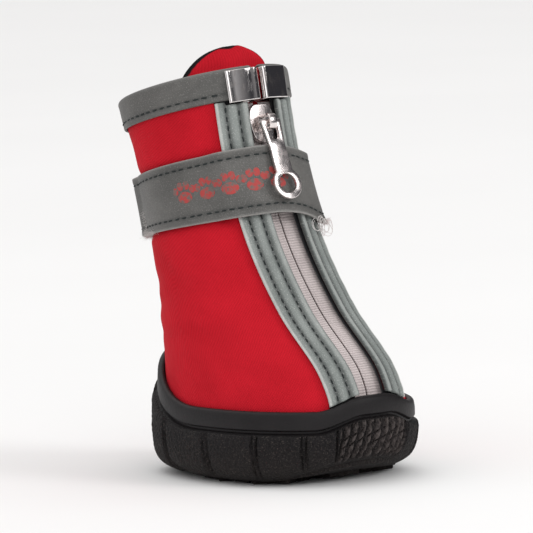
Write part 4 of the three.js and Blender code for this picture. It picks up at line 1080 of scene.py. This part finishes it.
top = BINDING_THICK / 2 - dent + 0 * around
marks = {
    "pale": 0.3 * bell(run[-1] / 2, 0.9, run) + 0 * around,
    # Painted shade along the dented row of stitching.
    "seam_shade": 0.6 * bell(BINDING_ROW, 0.6, run) + 0 * around,
}
binding = two_faced("collar_binding_tape", binding_place, top, top + BINDING_THICK / 2, 0.36, marks)
finish(binding, "collar_binding", "webbing", webbing)
row_start = turn_aside(1.0, 11.5)
row_turns = np.linspace(row_start, 2 * np.pi - row_start, 500)
row_level = collar_level(np.full(500, -BINDING_HEIGHT + BINDING_ROW))
row = stitches(row_turns, row_level, GAP + BINDING_THICK - 0.1, 2.7, 1.7)
finish(new_object("binding_stitches", *row), None, "webbing", thread_dark)

# %% [markdown]
# ## Clips
# A small plated clip is folded round each end of the binding beside the zip. It is bent from one
# flat strip, so its section is a line with two round corners, thickened both ways and carried up
# the collar. Rounded rims on a two-faced sheet give the bright outlines that bent metal has.

# %% Clips
BEND, CLIP_BEVEL = 1.3, 0.3
OUT_LINE = GAP + BINDING_THICK + GAP + 0.15 + CLIP_THICK / 2
IN_LINE = -WALL - (OUT_LINE - CLIP_THICK / 2) - CLIP_THICK / 2
corner = np.linspace(0, np.pi / 2, 9)[1:]
near = CLIP_START + CLIP_THICK / 2
straight = np.linspace(CLIP_START + CLIP_WIDTH, near + BEND, 16)
round_out, round_in = BEND - BEND * np.sin(corner), BEND - BEND * np.cos(corner)
line_aside = np.concatenate([straight, near + round_out, near + round_in, straight[::-1][1:]])
line_out = np.concatenate([
    np.full(16, OUT_LINE),
    OUT_LINE - round_in,
    IN_LINE + round_out,
    np.full(15, IN_LINE),
])
bent = np.stack([np.gradient(line_aside), np.gradient(line_out)])
bent /= np.linalg.norm(bent, axis=0)
clip_height = BINDING_HEIGHT + CLIP_OVERHANG + CLIP_RISE
clip_rise = -BINDING_HEIGHT - CLIP_OVERHANG + spread(clip_height, 0.6, 0.3)[:, None]
half = np.full((len(clip_rise), len(line_aside)), CLIP_THICK / 2)
front = (np.arange(len(line_aside)) < 20)[None, :]
far_bevel = 1 - smooth(0.5, 1.5, CLIP_START + CLIP_WIDTH - line_aside)
near_bevel = 1 - smooth(1.0, 2.2, line_aside - CLIP_START)
raised = np.where(front, CLIP_BEVEL * far_bevel + CLIP_BEVEL * near_bevel, 0) + 0 * clip_rise

for side, word in ((1, "right"), (-1, "left")):
    def clip_place(out, side=side):
        """The bent line moved out along its own normal, at each height of the clip."""
        aside, offset = line_aside + bent[1] * out, line_out - bent[0] * out
        turn = turn_aside(1.0, side * aside) + 0 * clip_rise
        return last_point(turn, collar_level(clip_rise) + 0 * aside, offset + 0 * clip_rise)

    plate = two_faced(f"clip_{word}_plate", clip_place, half + raised, 2 * half + raised, 0.22)
    finish(plate, f"clip_{word}", "metal", clip_metal)

# %% [markdown]
# ## Tongue
# A flap of the same softshell stands behind the zip and shows above the collar as a round tab.
# Near its top, its half width follows a curve that is blunter than a circle. The red face stops
# short of the edge, where the black lining wraps round, so the material needs only a mark there.

# %% Tongue
TONGUE_FOOT, TONGUE_HALF, TONGUE_RISE, TONGUE_TAPER, TONGUE_ROUND = 22.0, 15.2, 8.4, 6.0, 2.5
TONGUE_DRIFT, TONGUE_SET_BACK, TONGUE_THICK, TONGUE_WINGS = 1.2, 3.4, 1.8, (5.0, 15.0)
BACK_FAR = TAPE_BACK - COIL_THICK - GAP - 0.15
tongue_foot, tongue_head = level_at(0, TONGUE_FOOT), collar_level(TONGUE_RISE)
tip = 1 + (tongue_head - 1) * np.sin(np.linspace(0, np.pi / 2, 26)[1:])
level = np.concatenate([np.linspace(tongue_foot, 1, 90), tip])[:, None]
taper = collar_level(-TONGUE_TAPER)
top_share = np.clip((level - taper) / (tongue_head - taper), 0, 1)
half = TONGUE_HALF * np.maximum(0.012, 1 - top_share ** TONGUE_ROUND) ** (1 / TONGUE_ROUND)
across = np.linspace(-1, 1, 61)[None, :]
across = np.sign(across) * (1 - (1 - np.abs(across)) ** 1.15)
aside = across * half + TONGUE_DRIFT * smooth(0.5, 1, level)
level = level + 0 * across
wings = smooth(*TONGUE_WINGS, np.abs(across * half))
plain_seat = BACK_FAR - GAP - TONGUE_SET_BACK * smooth(tongue_foot, 0.86, level) * (1 - wings)
turn = turn_aside(level, aside, plain_seat)
cupped = 0.5 * smooth(0.6, 1.0, top_share) * across ** 2
waved = 0.25 * np.sin(3.2 * across + 1.0) * smooth(0.95, 1.02, level)
seat = plain_seat - (cupped + waved)
outline = last_point(turn, level, seat)
sideways, upward = lengths(outline, 1), lengths(outline, 0)
to_edge = np.minimum(np.minimum(sideways, sideways[:, -1:] - sideways), upward[-1:] - upward)
wider = 1.3 * smooth(-0.1, 0.7, across)
marks = {"edge": 1 - smooth(0.7, 1.0, to_edge - wider)}
walls = np.full_like(level, TONGUE_THICK)
tongue = two_faced("tongue_softshell", on_last(turn, level), seat, walls, 0.8, marks, lining=True)
finish(tongue, "tongue", "softshell", softshell, lining)

# %% [markdown]
# ## Ankle strap
# The strap goes once round the shaft and laps over its own start at the side, where hook and loop
# hold it. It lifts over the facings in front and over itself at the lap. Its cut edges are pale,
# a row of stitching runs near each, and a row of small paw prints in worn red is printed on the
# front. Each print is five thin ovals, flush with the cloth, in a piece of their own.

# %% Strap
STRAP_START, STRAP_END, STRAP_LONG, STRAP_THICK, STRAP_SAG = 140.0, 530.0, 170, 1.1, 3.2
OVER_FACING, OVER_SELF = FACING_SEAT + FACING_THICK + FACING_LIP, 2 * GAP + STRAP_THICK + 0.1
STRAP_ROWS = (2.6, STRAP_WIDTH - 2.4)
OVER_FROM, OVER_TO, LAP_TURNS = (310, 324), (396, 412), (485, 498)
SAG_FROM, SAG_TO, CORNER_TURN = (225, 300), (315, 372), 326


def strap_seat(degrees):
    """Distance of the inner face from the last: over the facings, over itself, and drawn in between."""
    over = smooth(*OVER_FROM, degrees) * (1 - smooth(*OVER_TO, degrees))
    lap = OVER_SELF * smooth(*LAP_TURNS, degrees)
    return GAP + 0.1 + np.maximum(OVER_FACING * over, lap) - (STRAP_PULL - 0.3) * (1 - over)


def strap_rise(degrees, width):
    """Height under the collar's edge: it sags on the far side, and its lower corner there curls down."""
    sag = STRAP_SAG * smooth(*SAG_FROM, degrees) * (1 - smooth(*SAG_TO, degrees))
    droop = 1.5 * bell(CORNER_TURN, 13, degrees) * (1 - smooth(0, 9, width))
    return -STRAP_DROP - STRAP_WIDTH + width - sag - droop


def strap_mould(degrees, width):
    """Soft lifts of the strap's edges, and dents along its two rows of stitching."""
    flare = 0.16 * (1 + np.sin(np.radians(degrees) * 5 + 0.6)) * bell(0, 2.2, width)
    flare = flare + 0.14 * (1 + np.sin(np.radians(degrees) * 4 + 2.1)) * bell(STRAP_WIDTH, 2.0, width)
    free_end = 0.9 * smooth(STRAP_END - 16, STRAP_END, degrees) * bell(0, 5, width)
    corner = 0.2 * bell(CORNER_TURN, 12, degrees) * bell(0, 3.2, width)
    return flare + (free_end + corner), sum(0.17 * bell(row, 0.5, width) for row in STRAP_ROWS)


width = spread(STRAP_WIDTH, 0.42, 0.45)[None, :]
along_share = spread(STRAP_LONG, 0.42, 0.45)[:, None] / STRAP_LONG
degrees = STRAP_START + (STRAP_END - STRAP_START) * along_share
level = collar_level(strap_rise(degrees, width))
lifted, dents = strap_mould(degrees, width)
top = strap_seat(degrees) + STRAP_THICK + lifted - dents
edges = 0.8 * (bell(0, 0.4, width) + bell(STRAP_WIDTH, 0.4, width))
# Painted shade along the two dented rows of stitching.
seam_shade = 0.6 * sum(bell(row, 0.7, width) for row in STRAP_ROWS)
marks = {"pale": edges + 0 * degrees, "seam_shade": seam_shade + 0 * degrees}
band_place = on_last(np.radians(degrees) + 0 * width, level)
band_thick = STRAP_THICK - dents + 0 * level
strap = two_faced("ankle_strap_webbing", band_place, top, band_thick, 0.45, marks)
finish(strap, "strap", "webbing", webbing)
rows = []
run = np.linspace(STRAP_START + 3, STRAP_END - 3, 900)
for row in STRAP_ROWS:
    lifted, dents = strap_mould(run, row)
    face = strap_seat(run) + STRAP_THICK + lifted - dents + 0.05
    rows.append(stitches(np.radians(run), collar_level(strap_rise(run, row)), face, 2.6, 1.65))
finish(new_object("strap_stitches", *joined(rows)), None, "webbing", thread_dark)


# %% Paw prints on the front of the strap
PRINT_RADIUS, PRINT_HIGH, PRINT_SIDES = 21.5, 0.05, 18
PRINT_TURNS = [68, 51, 35, 19, 3]
PADS = [
    # across, up, half width, half height
    (0.0, -1.1, 2.1, 1.7),
    (-2.5, 1.0, 0.85, 1.15),
    (-0.9, 2.3, 0.9, 1.25),
    (0.9, 2.3, 0.9, 1.25),
    (2.5, 1.0, 0.85, 1.15),
]


def printed_pad(at, pad_x, pad_y, pad_wide, pad_high):
    """A flush oval: rings of an ellipse laid on the strap's face, closed a little under it."""
    around_pad = np.linspace(0, 2 * np.pi, PRINT_SIDES, endpoint=False)

    def lay(share, high):
        across_turn = 360 + at - np.degrees((pad_x + share * pad_wide * np.cos(around_pad)) / PRINT_RADIUS)
        wide = STRAP_WIDTH / 2 + pad_y + share * pad_high * np.sin(around_pad)
        lifted, dents = strap_mould(across_turn, wide)
        out = strap_seat(across_turn) + STRAP_THICK + lifted - dents + high
        return last_point(np.radians(across_turn), collar_level(strap_rise(across_turn, wide)), out)

    rings = [lay(1.0, -0.15), lay(1.0, 0.6 * PRINT_HIGH), lay(0.93, PRINT_HIGH), lay(0.5, PRINT_HIGH)]
    return ring_body(rings, rings[0].mean(0), rings[-1].mean(0))


prints = [printed_pad(at, *pad) for at in PRINT_TURNS for pad in PADS]
finish(new_object("strap_paw_prints", *joined(prints)), None, "webbing", ink)

# %% [markdown]
# ## Loose fibres
# Hook and loop tape sheds: a fringe of pale fibres stands out along the strap's lap at the side,
# and a few threads have curled up under its front corner. Each fibre is a three-sided hair of
# a few rings. All of them are worked out at once from arrays of roots, directions and bends.

# %% Fibres at the lap and curled threads at the corner


def fibres(root, direction, bend, long, thick, steps=5):
    """Hairs: root plus direction times the way along, plus bend times its square, with thin tips."""
    way = np.linspace(0, 1, steps)[None, :, None]
    reach = way * long[:, None, None]
    line = root[:, None] + direction[:, None] * reach + bend[:, None] * way * reach
    side = np.cross(direction, [0.2, 0.3, 0.9])
    side /= np.linalg.norm(side, axis=1, keepdims=True)
    rise = np.cross(direction, side)
    around = np.linspace(0, 2 * np.pi, 3, endpoint=False)
    ring = side[:, None] * np.cos(around)[None, :, None] + rise[:, None] * np.sin(around)[None, :, None]
    points = line[:, :, None] + ring[:, None] * thick * (1.0 - 0.7 * way)[..., None]
    hairs = len(root)
    tip = 3 * steps - 3
    one = np.concatenate([[[0, 2, 1, 1]], grid_faces(steps, 3, True), [[tip, tip + 1, tip + 2, tip + 2]]])
    every = one[None] + (np.arange(hairs) * 3 * steps)[:, None, None]
    return points.reshape(-1, 3), every.reshape(-1, 4)


def fringe(count, turn_low, turn_high, width_low, width_high, out_low, out_high, long):
    """Fibres scattered over a patch of the strap, pointing out and a little every way."""
    degrees, wide = dice.uniform(turn_low, turn_high, count), dice.uniform(width_low, width_high, count)
    out = dice.uniform(out_low, out_high, count)
    level = collar_level(strap_rise(degrees, wide))
    root = last_point(np.radians(degrees), level, out)
    direction = last_point(np.radians(degrees), level, out + 1) - root + dice.normal(0, 0.5, (count, 3))
    direction /= np.linalg.norm(direction, axis=1, keepdims=True)
    bend = dice.normal(0, 0.6, (count, 3))
    return fibres(root, direction, bend, dice.uniform(0.4, 1.0, count) * long, 0.035)


hairs = [
    # count, turns, places across the strap, distances out, length
    fringe(650, STRAP_START, STRAP_END - 360, -0.2, 0.3, -0.4, 2.2, 1.0),
    fringe(380, STRAP_START - 1, STRAP_START + 1, 0.5, 18.5, -0.4, 0.5, 0.9),
    fringe(480, STRAP_END - 361, STRAP_END - 359.7, 0.5, 18.5, 1.4, 2.3, 1.0),
    fringe(500, 104, 140, -0.1, 0.6, -0.4, 0.7, 1.4),
    fringe(300, 124, 137, 0.2, 8.0, 0.4, 0.7, 1.0),
    fringe(260, 300, 335, -0.2, 0.4, 2.4, 3.4, 1.1),
]
finish(new_object("hook_and_loop_fibres", *joined(hairs)), None, "webbing", thread_pale)
curls = []
for k in range(10):
    wound = np.linspace(0, 1, 40)
    size, start_turn = dice.uniform(1.0, 2.3), -30 + dice.uniform(-8, 8)
    loop = 2 * np.pi * (wound * dice.uniform(0.7, 1.4) + dice.uniform(0, 1))
    rise = strap_rise(360 + start_turn, 0.0) - 0.3 + size * (np.sin(loop) - 0.2) - 1.0 * wound
    side_turn = np.radians(start_turn) + size * np.cos(loop) / 22
    path = last_point(side_turn, collar_level(rise), 3.2 + 0.6 * size * np.sin(loop * 0.7 + k))
    curls.append(swept(path, *frames(path, np.array([0.5, 0.7, 0.31])), round_section(0.15, 0.15, 6)))
finish(new_object("curled_threads", *joined(curls)), None, "webbing", thread_pale)

# %% [markdown]
# ## Slider and pull tab
# The slider is die-cast: two plates held apart by a neck, with a bail arched over the front one.
# The pull swings on the bar at the head of its own window, inside the bail. Flat plates with holes
# are drawn as closed curves, because Blender fills and bevels those well, and are then made into
# meshes. The bail is swept.

# %% Metal plates from closed outlines


def cast_plate(loops, near_out, far_out, bevel):
    """Points and faces of a plate: the outlines filled between two distances, with rounded rims."""
    curve = bpy.data.curves.new("outline", "CURVE")
    curve.dimensions, curve.fill_mode = "2D", "BOTH"
    curve.extrude, curve.bevel_depth, curve.offset = (far_out - near_out) / 2 - bevel, bevel, -bevel
    curve.bevel_resolution = 2
    for loop in loops:
        spline = curve.splines.new("POLY")
        spline.points.add(len(loop) - 1)
        spline.points.foreach_set("co", np.c_[loop, np.zeros(len(loop)), np.ones(len(loop))].ravel())
        spline.use_cyclic_u = True
    drawn = bpy.data.objects.new("outline", curve)
    bpy.context.scene.collection.objects.link(drawn)
    mesh = bpy.data.meshes.new_from_object(drawn.evaluated_get(bpy.context.evaluated_depsgraph_get()))
    bpy.data.objects.remove(drawn)
    welded = bmesh.new()
    welded.from_mesh(mesh)
    bmesh.ops.remove_doubles(welded, verts=welded.verts, dist=0.002)
    bmesh.ops.recalc_face_normals(welded, faces=welded.faces)
    welded.to_mesh(mesh)
    welded.free()
    points = np.zeros(len(mesh.vertices) * 3)
    mesh.vertices.foreach_get("co", points)
    points = points.reshape(-1, 3)
    faces = [list(p.vertices) for p in mesh.polygons]
    turned = np.stack([points[:, 0], -points[:, 2] - (near_out + far_out) / 2, points[:, 1]], -1)
    return turned, faces


def smooth_loop(corners, steps=10):
    """A closed outline through corners, each cut by a parabola between the middles of its sides."""
    corners = np.asarray(corners, float)
    before, after = (corners + np.roll(corners, 1, 0)) / 2, (corners + np.roll(corners, -1, 0)) / 2
    t = np.linspace(0, 1, steps, endpoint=False)[None, :, None]
    before, corners, after = before[:, None], corners[:, None], after[:, None]
    return ((1 - t) ** 2 * before + 2 * t * (1 - t) * corners + t ** 2 * after).reshape(-1, 2)


# %% Slider
SLIDER_WIDTH, SLIDER_PLATE, BAIL_WIDTH, BAIL_LENGTH, BAIL_BAR, PIVOT_HEIGHT = 8.6, 1.3, 2.6, 4.8, 0.9, 3.4
slider_level = collar_level(-SLIDER_DROP)
seat_point = last_point(0, slider_level, 0)
zip_up = last_point(0, slider_level + 0.02, 0) - last_point(0, slider_level - 0.02, 0)
zip_up /= np.linalg.norm(zip_up)
zip_tilt = np.arctan2(-zip_up[1], zip_up[2])
outwards = np.array([0, -zip_up[2], zip_up[1]])
PLATE_NEAR = TAPE_FACE + GAP + 0.15
PLATE_FAR = PLATE_NEAR + SLIDER_PLATE
PIVOT_OUT = PLATE_FAR + PIVOT_HEIGHT


def on_slider(points, out, lean=0.0):
    """Points in the slider's frame, tilted with the zip and moved out from the last."""
    c, s = np.cos(zip_tilt - lean), np.sin(zip_tilt - lean)
    x, y, z = points.T
    return np.stack([x, y * c - z * s, y * s + z * c], -1) + seat_point + outwards * out


half_wide, half_long = SLIDER_WIDTH / 2, SLIDER_LENGTH / 2
foot_x, cheek_x = 0.62 * half_wide, 0.97 * half_wide
shield = smooth_loop([
    [-foot_x, -half_long], [foot_x, -half_long], [cheek_x, -0.2 * half_long], [half_wide, 0.55 * half_long],
    [foot_x, half_long], [0.2, half_long], [-0.2, half_long], [-foot_x, half_long],
    [-half_wide, 0.55 * half_long], [-cheek_x, -0.2 * half_long],
])
parts = [
    cast_plate([shield], PLATE_NEAR, PLATE_FAR, 0.3),
    cast_plate([shield], BACK_FAR - 1.0, BACK_FAR, 0.3),
]
neck_half, neck_top, neck_foot = NECK_WIDTH / 2, half_long - 0.2, half_long - NECK_LENGTH
neck = smooth_loop([
    [-neck_half, neck_top], [neck_half, neck_top], [neck_half, neck_foot], [-neck_half, neck_foot],
])
parts.append(cast_plate([neck], BACK_FAR - 0.3, PLATE_NEAR + 0.3, 0.1))
bend = np.linspace(0, np.pi, 25)
legs = np.linspace(PLATE_FAR - 0.3, PIVOT_OUT - 0.1, 7)
reach_up = BAIL_LENGTH / 2 - BAIL_BAR / 2
arch = reach_up * signed_power(np.cos(bend), 0.8)
arch_up = np.concatenate([np.full(7, reach_up), arch, np.full(7, -reach_up)])
arch_out = np.concatenate([legs, PIVOT_OUT + 1.65 * np.sin(bend) ** 0.8, legs[::-1]])
keep = np.concatenate([[True], np.hypot(np.diff(arch_up), np.diff(arch_out)) > 0.02])
path = np.stack([0 * arch_up, -arch_out, arch_up], -1)[keep]
side, rise = frames(path, np.array([1.0, 0.0, 0.0]))
corner_turn = np.linspace(0, 2 * np.pi, 20, endpoint=False)
bar = np.stack([
    BAIL_BAR / 2 * signed_power(np.cos(corner_turn), 0.6),
    BAIL_WIDTH / 2 * signed_power(np.sin(corner_turn), 0.6),
], -1)
parts.append(swept(path, side, rise, bar))
points, faces = joined(parts)
slider = new_object("slider_cast", on_slider(points, 0), faces, sharp=40)
finish(slider, "slider", "metal", slider_metal)

# %% Pull tab
PULL_LENGTH, PULL_WIDTH, PULL_THICK, PULL_BAR = 23.0, 6.8, 1.2, 1.3
RING_RADIUS, RING_HOLE, WAIST_SHARE, WAIST_DROP = 4.6, 2.8, 0.78, 7.5
WINDOW_WAIST, WINDOW_FOOT, WINDOW_SHARE = 2.6, 5.4, 0.86
pull_out = GAP + OVER_FACING + STRAP_THICK + 2 * GAP + PULL_THICK / 2
pull_lean = np.arctan2(pull_out - PIVOT_OUT, STRAP_DROP - SLIDER_DROP)
ring_at = -(PULL_LENGTH - RING_RADIUS)
half = PULL_WIDTH / 2
flank = np.radians(38)
sweep = np.linspace(np.pi / 2 - flank, np.pi / 2 + flank - 2 * np.pi, 48)
ring_arc = np.stack([RING_RADIUS * np.cos(sweep), ring_at + RING_RADIUS * np.sin(sweep)], -1)
top_turn = np.linspace(0, np.pi / 2, 7)
shoulder = np.stack([half - 0.8 + 0.8 * np.sin(top_turn), PULL_BAR / 2 - 0.8 + 0.8 * np.cos(top_turn)], -1)
waist = np.array([[half * WAIST_SHARE, -WAIST_DROP]])
outline = np.concatenate([shoulder, waist, ring_arc, waist * [-1, 1], shoulder[::-1] * [-1, 1]])
open_half = BAIL_WIDTH / 2 + 0.4
foot_half, window_top = open_half * WINDOW_SHARE, -PULL_BAR / 2 + 0.1
window = smooth_loop([
    [-open_half, window_top], [-open_half, -WINDOW_WAIST], [-foot_half, -WINDOW_FOOT],
    [foot_half, -WINDOW_FOOT], [open_half, -WINDOW_WAIST], [open_half, window_top],
], 6)
window[:, 1] = np.minimum(window[:, 1], -PULL_BAR / 2)
hole = circle(RING_HOLE, 40) + [0, ring_at]
points, faces = cast_plate([outline, window, hole], -PULL_THICK / 2, PULL_THICK / 2, 0.24)
pull = new_object("pull_tab_cast", on_slider(points, PIVOT_OUT, max(0, pull_lean)), faces, sharp=40)
finish(pull, "pull", "metal", slider_metal, body="pull_tab")

# %% [markdown]
# ## Floor, light and the room
# The photo is a plain studio shot: a pale floor that runs out of sight and broad soft light from above
# and the front. A sky that is brighter overhead does most of it, so that upright sides stay deeper in
# tone than the floor, and large lamps model the form. One dark side of the room, seen only in gloss,
# gives the bright metal its contrast, since a white room would leave it flat.

# %% Floor
FAR = 20000
corners = [[-FAR, -FAR, 0], [FAR, -FAR, 0], [FAR, FAR, 0], [-FAR, FAR, 0]]
floor = new_object("floor", corners, [[0, 1, 2, 3]])
floor_paint, tree, inputs = new_material("floor_paint", specular_ior_level=0.1)
where = surface(tree, "Object")
clouded = noise(tree, where, 6, 2)
tree.links.new(blend(tree, clouded, paint(236, 236, 236), paint(240, 240, 240)), inputs["Base Color"])
inputs["Roughness"].default_value = 0.8
floor.data.materials.append(floor_paint)

# %% Lamps and sky


def lamp(name, place, size, power, aim=(0.0, 0.0, 0.05)):
    """A square area lamp at a place in metres, facing the boot."""
    made = bpy.data.objects.new(name, bpy.data.lights.new(name, "AREA"))
    made.data.size, made.data.energy = size, power
    made.location = place
    made.rotation_euler = (Vector(place) - Vector(aim)).to_track_quat("Z", "Y").to_euler()
    bpy.context.scene.collection.objects.link(made)
    return made


lamp("key_lamp", (0.9, -1.9, 1.15), 0.8, 15)
lamp("fill_lamp", (-1.2, -1.8, 1.0), 1.2, 7)
lamp("top_lamp", (0.1, 0.7, 1.9), 1.4, 4)

sky = bpy.data.worlds.new("studio")
bpy.context.scene.world = sky
sky.use_nodes = True
tree = sky.node_tree
direction = node(tree, "ShaderNodeTexCoord").outputs["Generated"]
DARK_SIDE = (0.85, -0.5, 0.1)
facing_dark = node(tree, "ShaderNodeVectorMath", {0: direction, 1: DARK_SIDE}, operation="DOT_PRODUCT")
dark = remap(tree, facing_dark.outputs["Value"], 0.12, 0.72, 0.0, 1.0)
seen = node(tree, "ShaderNodeLightPath").outputs["Is Glossy Ray"]
shade = maths(tree, "MULTIPLY", dark, seen)
height_seen = node(tree, "ShaderNodeSeparateXYZ", {0: direction}).outputs[2]
overhead = remap(tree, height_seen, 0.0, 0.8, 0.0, 1.0)
pale = blend(tree, overhead, (0.45, 0.45, 0.46, 1.0), (1.0, 0.99, 0.98, 1.0))
tree.links.new(blend(tree, shade, pale, (0.03, 0.03, 0.035, 1.0)), tree.nodes["Background"].inputs["Color"])
tree.nodes["Background"].inputs["Strength"].default_value = 1.06
